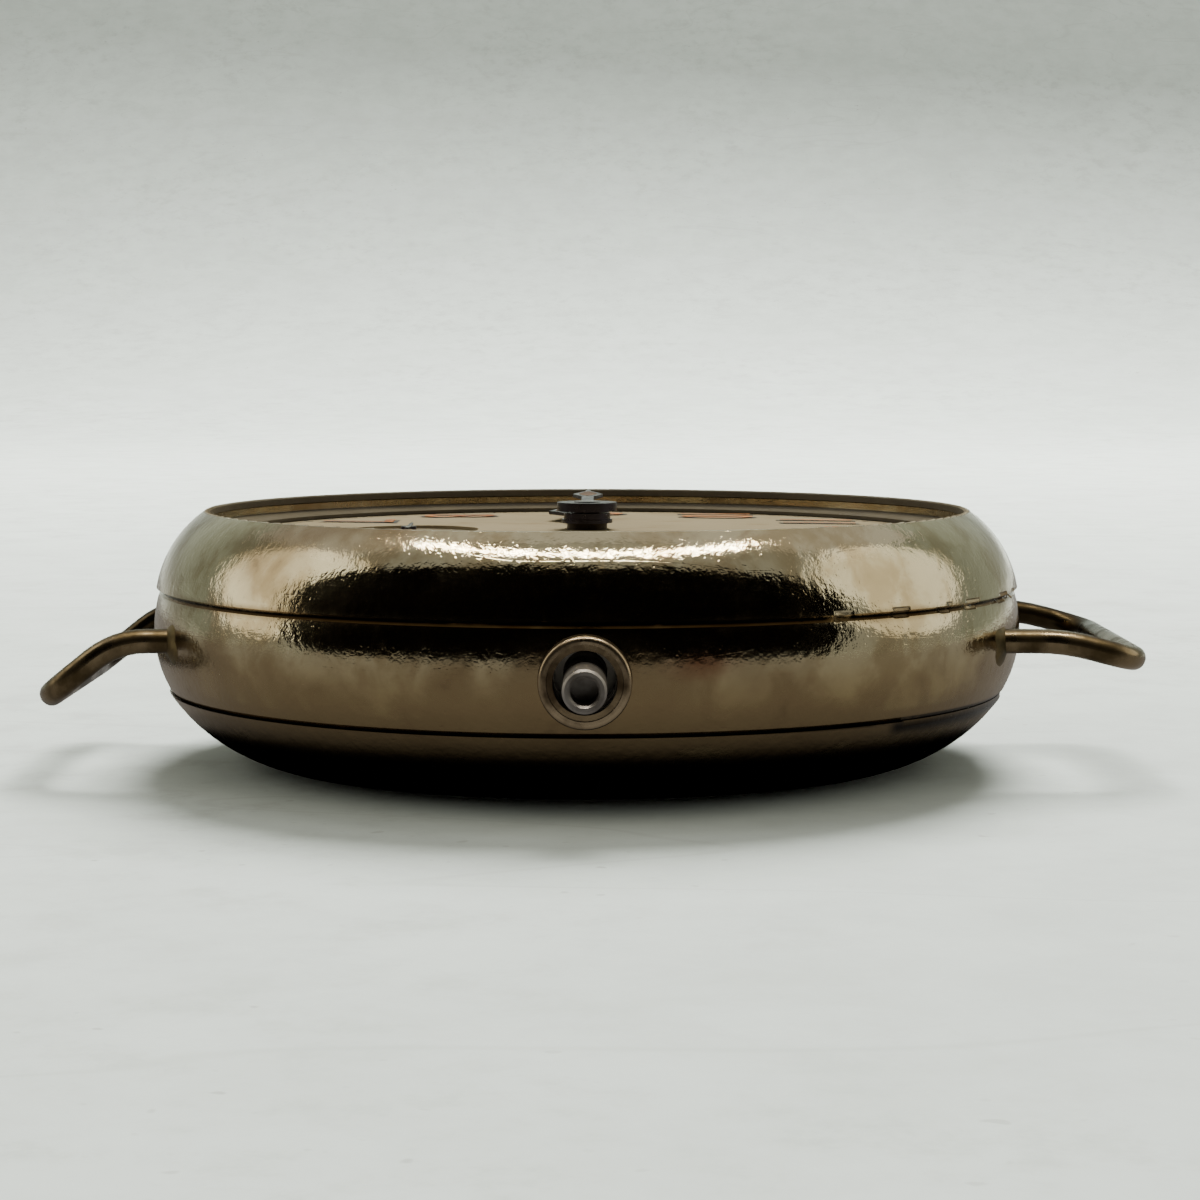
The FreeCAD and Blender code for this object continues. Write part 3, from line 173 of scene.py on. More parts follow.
# the key light stands behind, so the shadow falls forward; the windows are what the sides mirror
lamps = {
    "key": {"place": (-0.33, 0.05, 0.36), "aim": (0.0, 0.0, 0.0), "size": 0.26, "power": 6.4,
            "tone": (0.99, 1.0, 0.96), "mirrored": False},
    "backdrop": {"place": (-0.30, 0.0, 0.95), "aim": (-0.86, 0.0, 0.62), "size": 0.5, "power": 2.6,
                 "tone": (0.98, 1.0, 0.97), "mirrored": False},
    "windowLeft": {"place": (-0.04, -0.47, 0.25), "aim": (0.0, 0.0, 0.0), "size": 0.44, "power": 0.62,
                   "tone": (1.0, 0.96, 0.80), "mirrored": True},
    "windowRight": {"place": (-0.06, 0.46, 0.25), "aim": (0.0, 0.0, 0.0), "size": 0.44, "power": 0.46,
                    "tone": (1.0, 0.96, 0.80), "mirrored": True}}
for name, lamp in lamps.items():
    light = bpy.data.lights.new(name, "AREA")
    light.shape = "DISK"
    light.size = lamp["size"]
    light.energy = lamp["power"]
    light.color = lamp["tone"]
    holder = bpy.data.objects.new(name, light)
    holder.location = lamp["place"]
    towards = Vector(lamp["aim"]) - Vector(lamp["place"])
    holder.rotation_euler = towards.to_track_quat("-Z", "Y").to_euler()
    holder.visible_glossy = lamp["mirrored"]
    bpy.context.scene.collection.objects.link(holder)

room = {"tone": (0.82, 0.83, 0.76, 1), "strength": 0.42}
world = bpy.data.worlds.new("room")
world.use_nodes = True
backgroundInputs = world.node_tree.nodes["Background"].inputs
backgroundInputs[0].default_value = room["tone"]
backgroundInputs[1].default_value = room["strength"]
bpy.context.scene.world = world


def newPiece(name, vertices, faces, material, smooth=True):
    mesh = bpy.data.meshes.new(name)
    mesh.from_pydata([tuple(v) for v in vertices], [], faces)
    mesh.update()
    for polygon in mesh.polygons:
        polygon.use_smooth = smooth
    piece = bpy.data.objects.new(name, mesh)
    piece.data.materials.append(material)
    bpy.context.scene.collection.objects.link(piece)
    return piece


# quads between rings of points, each ring with the same number of steps
def ringFaces(rings, steps):
    made = []
    for ring in range(rings - 1):
        here, beyond = ring * steps, (ring + 1) * steps
        for step in range(steps):
            after = (step + 1) % steps
            made.append((here + step, beyond + step, beyond + after, here + after))
    return made


# a pale floor that sweeps up into a backdrop
table = {"reach": 1.6, "sweepStart": 0.35, "sweepRadius": 0.5, "steps": 24}


def paleTable():
    floor = Finish("paleTable", {"Roughness": 0.75, "Specular IOR Level": 0.2})
    cloud = floor.grain(14.0, 5.0)
    speck = floor.ramp(floor.grain(1100.0, 1.0), 0.70, 0.78) * floor.ramp(floor.grain(60.0, 2.0), 0.42, 0.66)
    mark = floor.bell(floor.grain(42.0, 2.0, place=floor.stretched(1.0, 0.3, 1.0)), 0.5, 0.004)
    worn = floor.ramp(floor.grain(260.0, 6.0, 0.7), 0.50, 0.68)
    worn = worn * floor.ramp(floor.grain(24.0, 3.0), 0.40, 0.62)
    patchy = floor.ramp(floor.grain(130.0, 6.0, 0.72), 0.32, 0.68)
    base = floor.tint(cloud, (0.70, 0.755, 0.71), (0.77, 0.83, 0.78))
    base = floor.tint(patchy * 0.30, base, (0.50, 0.53, 0.49))
    dirt = floor.most(floor.most(speck * 0.4, mark * 0.12), worn * 0.16)
    base = floor.tint(dirt, base, (0.30, 0.29, 0.26))
    return floor.feed(base=base, normal=floor.bump(floor.grain(420.0, 3.0), 0.04))


def makeFloor():
    rows = [(table["reach"], 0.0)]
    for step in range(table["steps"] + 1):
        angle = math.radians(90) * step / table["steps"]
        rows.append((-table["sweepStart"] - table["sweepRadius"] * math.sin(angle),
                     table["sweepRadius"] * (1 - math.cos(angle))))
    rows.append((rows[-1][0], table["reach"]))
    vertices = [(x, side * table["reach"], z) for x, z in rows for side in (-1, 1)]
    faces = [(2 * k, 2 * k + 1, 2 * k + 3, 2 * k + 2) for k in range(len(rows) - 1)]
    newPiece("floor", vertices, faces, paleTable())


makeFloor()


# studio cards and lamps that only show as reflections in the metal
def onlyMirrored(piece):
    piece.visible_camera = False
    piece.visible_diffuse = False
    piece.visible_transmission = False
    piece.visible_shadow = False


def glowFinish(name, strength, fixed=None):
    return Finish(name, {"Base Color": (0, 0, 0, 1), "Emission Strength": strength, **(fixed or {})})


matt = {"Roughness": 1.0, "Specular IOR Level": 0.0}
shade = {"radius": 0.45, "azimuth": (-86, 72), "elevation": (-20, 66), "lowest": 2 * mm, "rings": 8,
         "steps": 32, "corner": 0.9}


def makeShade():
    middleTurn, halfTurn = sum(shade["azimuth"]) / 2, (shade["azimuth"][1] - shade["azimuth"][0]) / 2
    middleRise, halfRise = sum(shade["elevation"]) / 2, (shade["elevation"][1] - shade["elevation"][0]) / 2
    vertices = []
    for ring in range(shade["rings"] + 1):
        share = ring / shade["rings"]
        for step in range(shade["steps"]):
            around = math.tau * step / shade["steps"]
            across, up = math.cos(around), math.sin(around)
            sideways = share * math.copysign(abs(across) ** shade["corner"], across)
            upwards = share * math.copysign(abs(up) ** shade["corner"], up)
            turn = math.radians(middleTurn + halfTurn * sideways)
            rise = math.radians(middleRise + halfRise * upwards)
            vertices.append((shade["radius"] * math.cos(rise) * math.cos(turn),
                             shade["radius"] * math.cos(rise) * math.sin(turn),
                             max(shade["lowest"], shade["radius"] * math.sin(rise))))
    cloth = Finish("shadeCloth", matt)
    black = cloth.tint(cloth.grain(6.0), (0.0, 0.0, 0.0), (0.003, 0.002, 0.001))
    faces = ringFaces(shade["rings"] + 1, shade["steps"])
    onlyMirrored(newPiece("shadeCard", vertices, faces, cloth.feed(base=black)))


# a soft ceiling for the metal near the rim, which looks up and back
ceiling = {"place": (-0.34, 0.0, 0.62), "reach": (0.30, 0.62), "strength": 0.66}


def makeCeiling():
    x, y, z = ceiling["place"]
    reachX, reachY = ceiling["reach"]
    vertices = [(x + a * reachX, y + b * reachY, z) for a, b in ((-1, -1), (1, -1), (1, 1), (-1, 1))]
    panel = glowFinish("ceilingGlow", ceiling["strength"], {"Specular IOR Level": 0.0})
    glow = panel.tint(panel.grain(5.0), (1.0, 0.99, 0.94), (0.86, 0.86, 0.82))
    onlyMirrored(newPiece("ceiling", vertices, [(0, 1, 2, 3)], panel.feed(glow=glow)))


# the lamp that draws the bright line along the front of the bezel
ringLamp = {"centre": (-0.092, 0.0, 0.42), "radius": 0.182, "width": 0.016, "from": -78, "to": 78,
            "strength": 60.0, "steps": 40}


def makeRingLamp():
    x, y, z = ringLamp["centre"]
    halfWidth, arc = ringLamp["width"] / 2, ringLamp["to"] - ringLamp["from"]
    vertices = []
    for step in range(ringLamp["steps"] + 1):
        angle = math.radians(ringLamp["from"] + arc * step / ringLamp["steps"])
        for radius in (ringLamp["radius"] - halfWidth, ringLamp["radius"] + halfWidth):
            vertices.append((x + radius * math.cos(angle), y + radius * math.sin(angle), z))
    faces = [(2 * k, 2 * k + 2, 2 * k + 3, 2 * k + 1) for k in range(ringLamp["steps"])]
    tube = glowFinish("lampGlow", ringLamp["strength"])
    glow = tube.tint(tube.grain(30.0), (1.0, 0.97, 0.88), (1.0, 0.93, 0.78))
    onlyMirrored(newPiece("ringLamp", vertices, faces, tube.feed(glow=glow)))


# painted floor shadow for the lower metal to mirror: a glowing disc over the floor, dark near the case, as a
# floor in shadow is
underFloor = {"height": 0.25 * mm, "radii": (0.0, 15.2, 16.3, 18.0, 22.0, 30.0, 60.0, 140.0, 420.0),
              "levels": (0.0, 0.0, 0.13, 0.27, 0.34, 0.35, 0.34, 0.33, 0.45), "smallest": 0.01, "steps": 48}


def makeUnderFloor():
    radii, levels, steps = underFloor["radii"], underFloor["levels"], underFloor["steps"]
    vertices = []
    for radius in radii:
        reach = max(radius, underFloor["smallest"]) * mm
        for step in range(steps):
            angle = math.tau * step / steps
            vertices.append((reach * math.cos(angle), reach * math.sin(angle), underFloor["height"]))
    gloom = glowFinish("paintedFloorShadow", 1.0, matt)
    away = gloom.away(gloom.x, gloom.y)
    level = 0.0
    for inner, outer, low, high in zip(radii, radii[1:], levels, levels[1:]):
        level = level + gloom.ramp(away, inner * mm, outer * mm) * (high - low)
    glow = gloom.tint(level, (0.0, 0.0, 0.0), (1.0, 0.98, 0.92))
    onlyMirrored(newPiece("paintedFloorShadow", vertices, ringFaces(len(radii), steps), gloom.feed(glow=glow)))


makeShade()
makeCeiling()
makeRingLamp()
makeUnderFloor()


print("finishes")
plateTones = {"clean": ((0.56, 0.48, 0.30), (0.66, 0.585, 0.40)), "low": (0.52, 0.405, 0.19),
              "blotch": (0.40, 0.30, 0.155), "ends": (0.42, 0.305, 0.18), "tarnish": (0.26, 0.185, 0.10),
              "stain": (0.22, 0.085, 0.045), "spot": (0.20, 0.14, 0.08), "seam": (0.02, 0.014, 0.008),
              "inside": ((0.10, 0.078, 0.042), (0.045, 0.034, 0.018)), "under": (0.012, 0.009, 0.004)}
plateWear = {"lowBand": (3.6, 6.3), "leftEnd": (-16.6, -13.6), "ends": (14.4, 16.2), "tubeGrime": (1.6, 3.0),
             "stainAt": (3.9, 5.5), "stainSize": 1.9, "gape": (4, 13), "notch": (10.4, 10.9),
             "insideWall": (14.50, 14.72), "insideAbove": (8.3, 8.7), "shadeBelow": (1.5, 2.15),
             "pryMarks": (-4, -1), "depth": 0.030}


def wornPlate():
    plate = Finish("wornPlate", {"Metallic": 1.0})
    tones, wear = plateTones, plateWear

    def between(value, limits):
        return plate.ramp(value, limits[0] * mm, limits[1] * mm)

    around = plate.away(plate.x, plate.y)
    broad = plate.grain(150.0, 3.0, warp=0.4)
    mid = plate.grain(520.0, 4.0, 0.6, warp=0.3)
    fine = plate.grain(2800.0, 3.0, 0.6)
    streak = plate.grain(420.0, 3.0, place=plate.stretched(1.0, 1.0, 0.16))
    upright = plate.grain(1500.0, 2.0, place=plate.stretched(1.0, 1.0, 0.08))
    pits = plate.ramp(plate.grain(3600.0, 2.0, 0.7), 0.60, 0.74)
    scratch = plate.bell(plate.grain(260.0, 1.0, place=plate.stretched(0.3, 0.3, 2.6)), 0.5, 0.006)
    bezelSeam, backSeam = case["bezelSeam"] * mm, case["backSeam"] * mm
    front, nearFront = plate.ramp(plate.x, 0.0, 8 * mm), plate.ramp(plate.x, 0.0, 5 * mm)

    # grime gathers at the seams and round the tube; the metal is also darker towards the bottom and at the left
    # end
    low = 1.0 - between(plate.z, wear["lowBand"])
    nearSeams = plate.most(plate.bell(plate.z, bezelSeam, 0.35 * mm), plate.bell(plate.z, backSeam, 0.6 * mm))
    fromTube = plate.away(plate.y, plate.z - case["tubeHeight"] * mm)
    nearTube = (1.0 - between(fromTube, wear["tubeGrime"])) * front
    grime = plate.most(nearTube * 1.3, nearSeams * 0.85)
    leftEnd = 1.0 - between(plate.y, wear["leftEnd"])
    dulled = broad + grime * 0.30 + streak * 0.14 + low * 0.16 + mid * 0.25 + leftEnd * 0.4
    tarnish = plate.ramp(dulled, 0.60, 0.92)
    spots = plate.ramp(mid, 0.60, 0.72) * plate.ramp(broad, 0.40, 0.60)

    clean = plate.tint(streak, *tones["clean"])
    clean = plate.tint(low * 0.85, clean, tones["low"])
    clean = plate.tint(plate.ramp(mid, 0.42, 0.62) * 0.65, clean, tones["blotch"])
    ends = between(plate.math("ABSOLUTE", plate.y), wear["ends"])
    clean = plate.tint(ends * 0.9, clean, tones["ends"])
    base = plate.tint(tarnish * 0.85, clean, tones["tarnish"])
    stainY, stainZ = wear["stainAt"]
    fromStain = plate.away(plate.y - stainY * mm, (plate.z - stainZ * mm) * 2.0)
    stain = plate.bell(fromStain, 0.0, wear["stainSize"] * mm) * front
    base = plate.tint(stain * 0.75, base, tones["stain"])
    base = plate.tint(spots * 0.4, base, tones["spot"])

    # dark seams, wider at the right of the back, where the prying notch is
    gape = between(plate.y, wear["gape"]) * nearFront
    bezelLine = plate.bell(plate.z, bezelSeam, 0.07 * mm)
    backLine = plate.bell(plate.z, backSeam, gape * 0.12 * mm + 0.08 * mm)
    notch = plate.bell(plate.z, backSeam - 0.25 * mm, 0.5 * mm) * between(plate.y, wear["notch"]) * nearFront
    seam = plate.most(plate.most(bezelLine, backLine) * plate.ramp(mid, 0.30, 0.46), notch)
    base = plate.tint(seam, base, tones["seam"])

    # painted shade inside the bezel's opening, whose wall is also made dull and not metal, and painted shade
    # under the case
    inside = (1.0 - between(around, wear["insideWall"])) * between(plate.z, wear["insideAbove"])
    base = plate.tint(inside, base, plate.tint(mid, *tones["inside"]))
    # painted shade: below about 2 mm the case metal turns near black
    under = 1.0 - between(plate.z, wear["shadeBelow"])
    base = plate.tint(under * 0.95, base, tones["under"])

    # small pry marks along the right of the bezel's seam
    nicked = plate.ramp(plate.grain(900.0, 1.0, place=plate.stretched(1.0, 1.0, 0.4)), 0.54, 0.62)
    nicked = nicked * between(plate.y, wear["pryMarks"])
    nicked = nicked * plate.ramp(plate.bell(plate.z, bezelSeam + 0.05 * mm, 0.30 * mm), 0.2, 0.5)

    rough = 0.08 + tarnish * 0.10 + low * 0.10 + spots * 0.10 + inside * 0.6
    rough = rough + plate.ramp(fine, 0.45, 0.8) * 0.05
    height = fine * 0.55 + mid * 0.36 + broad * 1.1 - pits * 0.10 + upright * 0.09 - scratch * 0.03
    return plate.feed(base=base, rough=rough + nicked * 0.45, metal=1.0 - inside * 0.9,
                      normal=plate.bump(height - nicked * 2.2, wear["depth"]))


wireTones = {"clean": (0.27, 0.205, 0.12), "worn": (0.09, 0.064, 0.03), "far": (0.04, 0.028, 0.013),
             "shadedFarLeg": (-4.5, 3.0)}


def wireMetal():
    wire = Finish("wireMetal", {"Metallic": 1.0})
    mid = wire.grain(600.0, 4.0)
    fine = wire.grain(3200.0, 3.0)
    worn = wire.ramp(mid + wire.grain(160.0, 2.0) * 0.5, 0.62, 0.92)
    base = wire.tint(worn, wireTones["clean"], wireTones["worn"])
    # painted shade: the far leg of each wire is darker
    shadedFarLeg = 1.0 - wire.ramp(wire.x, wireTones["shadedFarLeg"][0] * mm, wireTones["shadedFarLeg"][1] * mm)
    base = wire.tint(shadedFarLeg * 0.85, base, wireTones["far"])
    return wire.feed(base=base, rough=0.20 + worn * 0.22, normal=wire.bump(fine * 0.3 + mid, 0.012))


tubeForm = {"sheenEdge": (1.35, 1.55), "sheenTone": (0.40, 0.31, 0.20), "mouth": case["tubeMouth"]}


def tubeMetal(name, light, dark):
    tube = Finish(name, {"Metallic": 1.0})
    mid = tube.grain(700.0, 4.0)
    fine = tube.grain(3500.0, 3.0)
    fromAxis = tube.away(tube.y, tube.z - case["tubeHeight"] * mm)
    worn = tube.ramp(mid, 0.38, 0.66)
    # painted sheen: the outer edge at the tube's mouth is lighter
    edge = tube.ramp(fromAxis, tubeForm["sheenEdge"][0] * mm, tubeForm["sheenEdge"][1] * mm)
    paintedSheen = edge * tube.ramp(tube.x, (tubeForm["mouth"] - 0.3) * mm, tubeForm["mouth"] * mm) * 0.5
    base = tube.tint(paintedSheen, tube.tint(worn, light, dark), tubeForm["sheenTone"])
    return tube.feed(base=base, rough=0.24 + worn * 0.16, normal=tube.bump(mid + fine * 0.3, 0.016))


def simpleMetal(name, light, dark, rough, scale):
    metal = Finish(name, {"Metallic": 1.0})
    cloud = metal.grain(scale, 4.0)
    fine = metal.grain(scale * 7, 3.0)
    base = metal.tint(metal.ramp(cloud, 0.35, 0.7), light, dark)
    return metal.feed(base=base, rough=rough + metal.ramp(fine, 0.3, 0.8) * 0.15,
                      normal=metal.bump(fine * 0.4 + cloud, 0.008))


stemForm = {"light": (0.36, 0.335, 0.31), "dark": (0.17, 0.15, 0.13), "oil": (0.035, 0.028, 0.02),
            "oilEnds": (17.1, 18.6), "oilStarts": (16.0, 17.0)}


def stemMetal():
    stem = Finish("stemSteel", {"Metallic": 1.0})
    cloud = stem.grain(900.0, 4.0)
    rings = stem.grain(3000.0, 2.0, place=stem.stretched(1.0, 0.15, 0.15))
    base = stem.tint(stem.ramp(cloud, 0.35, 0.7), stemForm["light"], stemForm["dark"])
    bare = stem.ramp(stem.x, stemForm["oilEnds"][0] * mm, stemForm["oilEnds"][1] * mm)
    reached = stem.ramp(stem.x, stemForm["oilStarts"][0] * mm, stemForm["oilStarts"][1] * mm)
    base = stem.tint((1.0 - bare) * reached * 0.9, base, stemForm["oil"])
    return stem.feed(base=base, rough=0.34 + cloud * 0.2, normal=stem.bump(cloud + rings * 0.5, 0.012))


risingForm = {"black": (0.035, 0.028, 0.022), "aboveDial": (8.5, 8.8), "atTop": (9.86, 9.93)}


# painted shade: the pipes that stand up through the dial are near black above it, less so at their tops
def risingMetal(name, light, dark):
    pipe = Finish(name, {"Metallic": 1.0})
    cloud = pipe.grain(500.0, 4.0)
    above = pipe.ramp(pipe.z, risingForm["aboveDial"][0] * mm, risingForm["aboveDial"][1] * mm)
    top = pipe.ramp(pipe.z, risingForm["atTop"][0] * mm, risingForm["atTop"][1] * mm)
    base = pipe.tint(pipe.ramp(cloud, 0.35, 0.7), light, dark)
    base = pipe.tint(above * (1.0 - top * 0.6), base, risingForm["black"])
    return pipe.feed(base=base, rough=0.22 + above * 0.16, normal=pipe.bump(cloud, 0.008))


dialForm = {"centreTop": highest("dial", 2), "edgeRadius": highest("dial", 0), "dome": 0.12, "lift": 0.012}
smallSeconds = {"y": -6.9, "depth": 0.12, "wall": (2.62, 2.74)}
enamelTones = {"cream": ((0.25, 0.205, 0.13), (0.18, 0.145, 0.088)), "age": (0.14, 0.095, 0.05),
               "rim": (0.10, 0.075, 0.04), "well": (0.19, 0.15, 0.095), "rimFrom": 12.6}


def firedEnamel():
    enamel = Finish("firedEnamel", {"IOR": 1.45, "Specular IOR Level": 0.0})
    cloud = enamel.grain(140.0, 4.0)
    age = enamel.ramp(enamel.grain(420.0, 4.0, 0.6), 0.50, 0.8)
    hair = enamel.bell(enamel.grain(90.0, 2.0, warp=0.6), 0.5, 0.003)
    around = enamel.away(enamel.x, enamel.y)
    rim = enamel.ramp(around, enamelTones["rimFrom"] * mm, dialForm["edgeRadius"] * mm)
    base = enamel.tint(cloud, *enamelTones["cream"])
    base = enamel.tint(age * 0.5 + hair * 0.2, base, enamelTones["age"])
    base = enamel.tint(rim * (0.3 + age * 0.4), base, enamelTones["rim"])
    fromSeconds = enamel.away(enamel.x, enamel.y - smallSeconds["y"] * mm)
    well = 1.0 - enamel.ramp(fromSeconds, smallSeconds["wall"][0] * mm, smallSeconds["wall"][1] * mm)
    base = enamel.tint(well * 0.25, base, enamelTones["well"])
    return enamel.feed(base=base, rough=0.84 + age * 0.12, normal=enamel.bump(cloud + age * 0.3, 0.012))


def stripedNickel():
    nickel = Finish("stripedNickel", {"Metallic": 1.0})
    wave = nickel.node("ShaderNodeTexWave", {"wave_profile": "SAW"},
                       {"Vector": nickel.place, "Scale": 110.0, "Distortion": 0.3, "Detail": 1.0}, output=1)
    fine = nickel.grain(1500.0, 3.0, place=nickel.stretched(0.2, 1.0, 1.0))
    base = nickel.tint(nickel.grain(200.0, 3.0), (0.66, 0.64, 0.58), (0.55, 0.52, 0.44))
    return nickel.feed(base=base, rough=0.2 + wave * 0.12 + fine * 0.08,
                       normal=nickel.bump(wave + fine * 0.3, 0.006))


def ruby():
    stone = Finish("ruby", {"Roughness": 0.05, "Transmission Weight": 0.35, "IOR": 1.76})
    return stone.feed(base=stone.tint(stone.grain(500.0, 2.0), (0.55, 0.02, 0.08), (0.36, 0.01, 0.06)))


def agedLume(name, light, dark):
    paint = Finish(name, {"Roughness": 0.9})
    base = paint.tint(paint.ramp(paint.grain(500.0, 4.0), 0.38, 0.62), light, dark)
    return paint.feed(base=base, normal=paint.bump(paint.grain(2500.0, 3.0), 0.030))


def dialInk():
    black = Finish("dialInk", {"Roughness": 0.45})
    return black.feed(base=black.tint(black.grain(900.0, 2.0), (0.016, 0.013, 0.012), (0.05, 0.038, 0.028)))


def solderMetal():
    tin = Finish("solderMetal", {"Metallic": 1.0})
    mid = tin.grain(900.0, 4.0)
    base = tin.tint(tin.ramp(mid, 0.35, 0.65), (0.085, 0.07, 0.03), (0.20, 0.15, 0.075))
    return tin.feed(base=base, rough=0.40 + mid * 0.25, normal=tin.bump(mid, 0.050))


brass = ((0.78, 0.58, 0.27), (0.60, 0.42, 0.18))
brightSteel = ((0.60, 0.60, 0.60), (0.42, 0.41, 0.40))
blueBlack = ((0.050, 0.046, 0.062), (0.028, 0.022, 0.026))
lume = agedLume("agedLume", (0.38, 0.15, 0.05), (0.15, 0.055, 0.025))
handLume = agedLume("handLume", (0.12, 0.075, 0.045), (0.06, 0.038, 0.025))
ink = dialInk()
wires = wireMetal()
finishOf = {"case_metal": wornPlate(),
            "tube_metal": tubeMetal("sleeveBronze", (0.30, 0.23, 0.14), (0.10, 0.07, 0.04)),
            "enamel": firedEnamel(),
            "blued_steel": simpleMetal("bluedSteel", *blueBlack, 0.26, 500.0),
            "steel": simpleMetal("groundSteel", *brightSteel, 0.22, 400.0),
            "gilt_brass": simpleMetal("giltBrass", *brass, 0.24, 500.0),
            "nickel": stripedNickel(),
            "ruby": ruby()}
ownFinish = {"winding_stem": stemMetal(),
             "pendant_tube": tubeMetal("tubeBronze", (0.42, 0.33, 0.215), (0.10, 0.07, 0.04)),
             "hour_wheel": risingMetal("pipeBrass", *brass),
             "cannon_pinion": risingMetal("pipeSteel", *brightSteel),
             "lug_wire_12": wires, "lug_wire_6": wires}
slotOf = {part["node"]: part["material_slot"] for part in frame["record"]["subparts"]}
for name, node in nodes.items():
    node.data.materials.clear()
    node.data.materials.append(ownFinish.get(name) or finishOf[slotOf[name]])


print("dial markings")


def dialTop(x, y):
    fall = (x * x + y * y) / dialForm["edgeRadius"] ** 2
    return dialForm["centreTop"] - dialForm["dome"] * fall


def onDial(x, y):
    return dialTop(x, y) + dialForm["lift"]


def inSmallSeconds(x, y):
    return dialTop(0.0, smallSeconds["y"]) - smallSeconds["depth"] + dialForm["lift"]


# flat outlines as one mesh, each laid at the given height
def flatPiece(name, outlines, material, body, height):
    vertices, faces = [], []
    for outline in outlines:
        faces.append(tuple(range(len(vertices), len(vertices) + len(outline))))
        vertices.extend((x * mm, y * mm, height(x, y) * mm) for x, y in outline)
    piece = newPiece(name, vertices, faces, material, smooth=False)
    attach(piece, body)
    return piece


def arcBand(middle, inner, outer, start, stop, steps):
    bands = []
    for step in range(steps):
        first = math.radians(start + (stop - start) * step / steps)
        last = math.radians(start + (stop - start) * (step + 1) / steps)
        corners = ((inner, first), (outer, first), (outer, last), (inner, last))
        bands.append([(radius * math.cos(angle), middle + radius * math.sin(angle))
                      for radius, angle in corners])
    return bands


# two thin rings with sixty marks between them, some of them heavier
def makeRailTrack(name, rail, height):
    outlines = []
    for radius in (rail["inner"], rail["outer"]):
        half = rail["line"] / 2
        outlines += arcBand(rail["middle"], radius - half, radius + half, 0, 360, rail["steps"])
    for mark in range(60):
        wide = rail["heavy"] if mark % rail["heavyEvery"] == 0 else rail["light"]
        half = math.degrees(wide / 2 / rail["inner"])
        outlines += arcBand(rail["middle"], rail["inner"], rail["outer"], mark * 6 - half, mark * 6 + half, 1)
    flatPiece(name, outlines, ink, "case", height)


minuteRail = {"middle": 0, "inner": 12.95, "outer": 13.45, "line": 0.05, "light": 0.07, "heavy": 0.15,
              "heavyEvery": 5, "steps": 120}
secondsRail = {"middle": smallSeconds["y"], "inner": 2.1, "outer": 2.42, "line": 0.05, "light": 0.05,
               "heavy": 0.11, "heavyEvery": 10, "steps": 72}
numeral = {"ring": 10.75, "size": 4.3, "curveSteps": 6, "edgeGrow": 0.14, "fillGrow": -0.01, "fillLift": 0.04}


def numeralMesh(hour, grow, material, name, lift):
    curve = bpy.data.curves.new(name, "FONT")
    curve.body = str(hour)
    curve.size = numeral["size"]
    curve.align_x = "CENTER"
    curve.align_y = "CENTER"
    curve.offset = grow
    curve.resolution_u = numeral["curveSteps"]
    letters = bpy.data.objects.new(name + "Curve", curve)
    bpy.context.scene.collection.objects.link(letters)
    bpy.context.view_layer.update()
    mesh = bpy.data.meshes.new_from_object(letters.evaluated_get(bpy.context.evaluated_depsgraph_get()))
    bpy.data.objects.remove(letters)
    bpy.data.curves.remove(curve)
    places = [vertex.co.copy() for vertex in mesh.vertices]
    middle = [(min(p[axis] for p in places) + max(p[axis] for p in places)) / 2 for axis in (0, 1)]
    angle = math.radians(90 - 30 * hour)
    for vertex in mesh.vertices:
        x = vertex.co.x - middle[0] + numeral["ring"] * math.cos(angle)
        y = vertex.co.y - middle[1] + numeral["ring"] * math.sin(angle)
        vertex.co = (x * mm, y * mm, (onDial(x, y) + lift) * mm)
    mesh.materials.clear()
    mesh.materials.append(material)
    piece = bpy.data.objects.new(name, mesh)
    bpy.context.scene.collection.objects.link(piece)
    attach(piece, "case")


# the small seconds take the place of the six
def makeNumerals():
    for hour in range(1, 13):
        if hour != 6:
            numeralMesh(hour, numeral["edgeGrow"], ink, "numeral_edge_" + str(hour), 0.0)
            numeralMesh(hour, numeral["fillGrow"], lume, "numeral_fill_" + str(hour), numeral["fillLift"])


makeRailTrack("minute_track", minuteRail, onDial)
makeRailTrack("seconds_track", secondsRail, inSmallSeconds)
makeNumerals()


print("hands and solder")
# along: share of the hand's length, with half the width there as a share of its widest
lumeOutline = ((0.55, 0.02), (0.60, 0.55), (0.68, 0.98), (0.74, 0.78), (0.80, 0.42), (0.85, 0.05))
handFills = {"hour": {"angle": 187.5, "length": 8.2, "half": 0.60, "height": lowest("hour_hand", 2) + 0.15},
             "minute": {"angle": 180.0, "length": 11.9, "half": 0.40, "height": lowest("minute_hand", 2) + 0.25}}


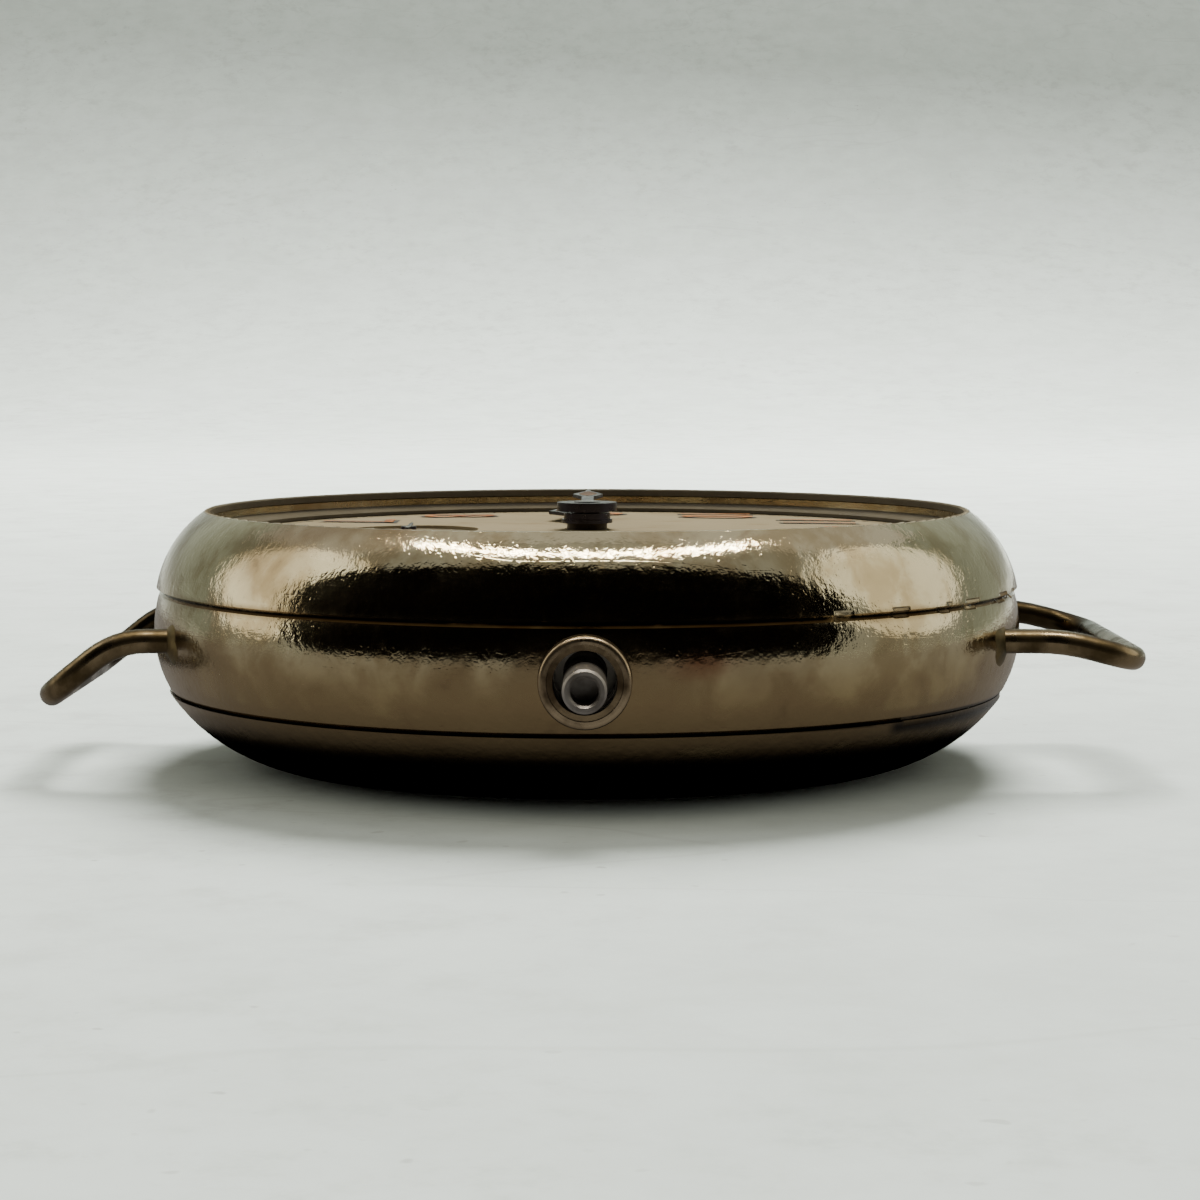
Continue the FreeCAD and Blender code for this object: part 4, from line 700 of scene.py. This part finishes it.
def makeHandFill(body, fill):
    angle = math.radians(fill["angle"])
    along = (math.cos(angle), math.sin(angle))
    across = (-along[1], along[0])
    ring = list(lumeOutline) + [(share, -wide) for share, wide in reversed(lumeOutline)]
    vertices = []
    for share, wide in ring:
        far, side = share * fill["length"], wide * fill["half"]
        x, y = along[0] * far + across[0] * side, along[1] * far + across[1] * side
        vertices.append((x * mm, y * mm, fill["height"] * mm))
    piece = newPiece(body + "_lume", vertices, [tuple(range(len(vertices)))], handLume, smooth=False)
    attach(piece, body)


for body, fill in handFills.items():
    makeHandFill(body, fill)

# a lens of old solder where each wire leg meets the band
solder = {"wide": 0.92, "high": 0.78, "thick": 0.16, "rings": 5, "steps": 20, "shift": 0.30, "sunk": 0.01,
          "edgeSunk": 0.02, "fullness": 2.2, "middle": 5.05,
          "roots": ((6.35, 15.33), (-6.35, 15.33), (6.35, -15.33), (-6.35, -15.33))}


def bandRadius(z):
    return case["radius"] - case["barrelling"] * (z - case["widestAt"]) ** 2


def makeSolder(name, x, y, seed):
    base = math.atan2(y, x)
    toward = -math.copysign(1.0, y) * solder["shift"]
    vertices = []
    for ring in range(solder["rings"] + 1):
        share = ring / solder["rings"]
        raised = solder["thick"] * (1.0 - share ** solder["fullness"]) - solder["sunk"]
        if ring == solder["rings"]:
            raised -= solder["edgeSunk"]
        for step in range(solder["steps"]):
            turn = math.tau * step / solder["steps"]
            ragged = 1.0 + 0.14 * math.sin(3 * turn + seed) + 0.09 * math.sin(5 * turn + 2.3 * seed)
            alongArc = toward + solder["wide"] * share * ragged * math.cos(turn)
            z = solder["middle"] + solder["high"] * share * ragged * math.sin(turn)
            radius = bandRadius(z) + raised
            angle = base + alongArc / case["radius"]
            vertices.append((radius * math.cos(angle) * mm, radius * math.sin(angle) * mm, z * mm))
    piece = newPiece(name, vertices, ringFaces(solder["rings"] + 1, solder["steps"]), solderFinish)
    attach(piece, "case")


solderFinish = solderMetal()
for index, (x, y) in enumerate(solder["roots"]):
    makeSolder("solder_" + str(index + 1), x, y, 1.7 * index + 0.6)
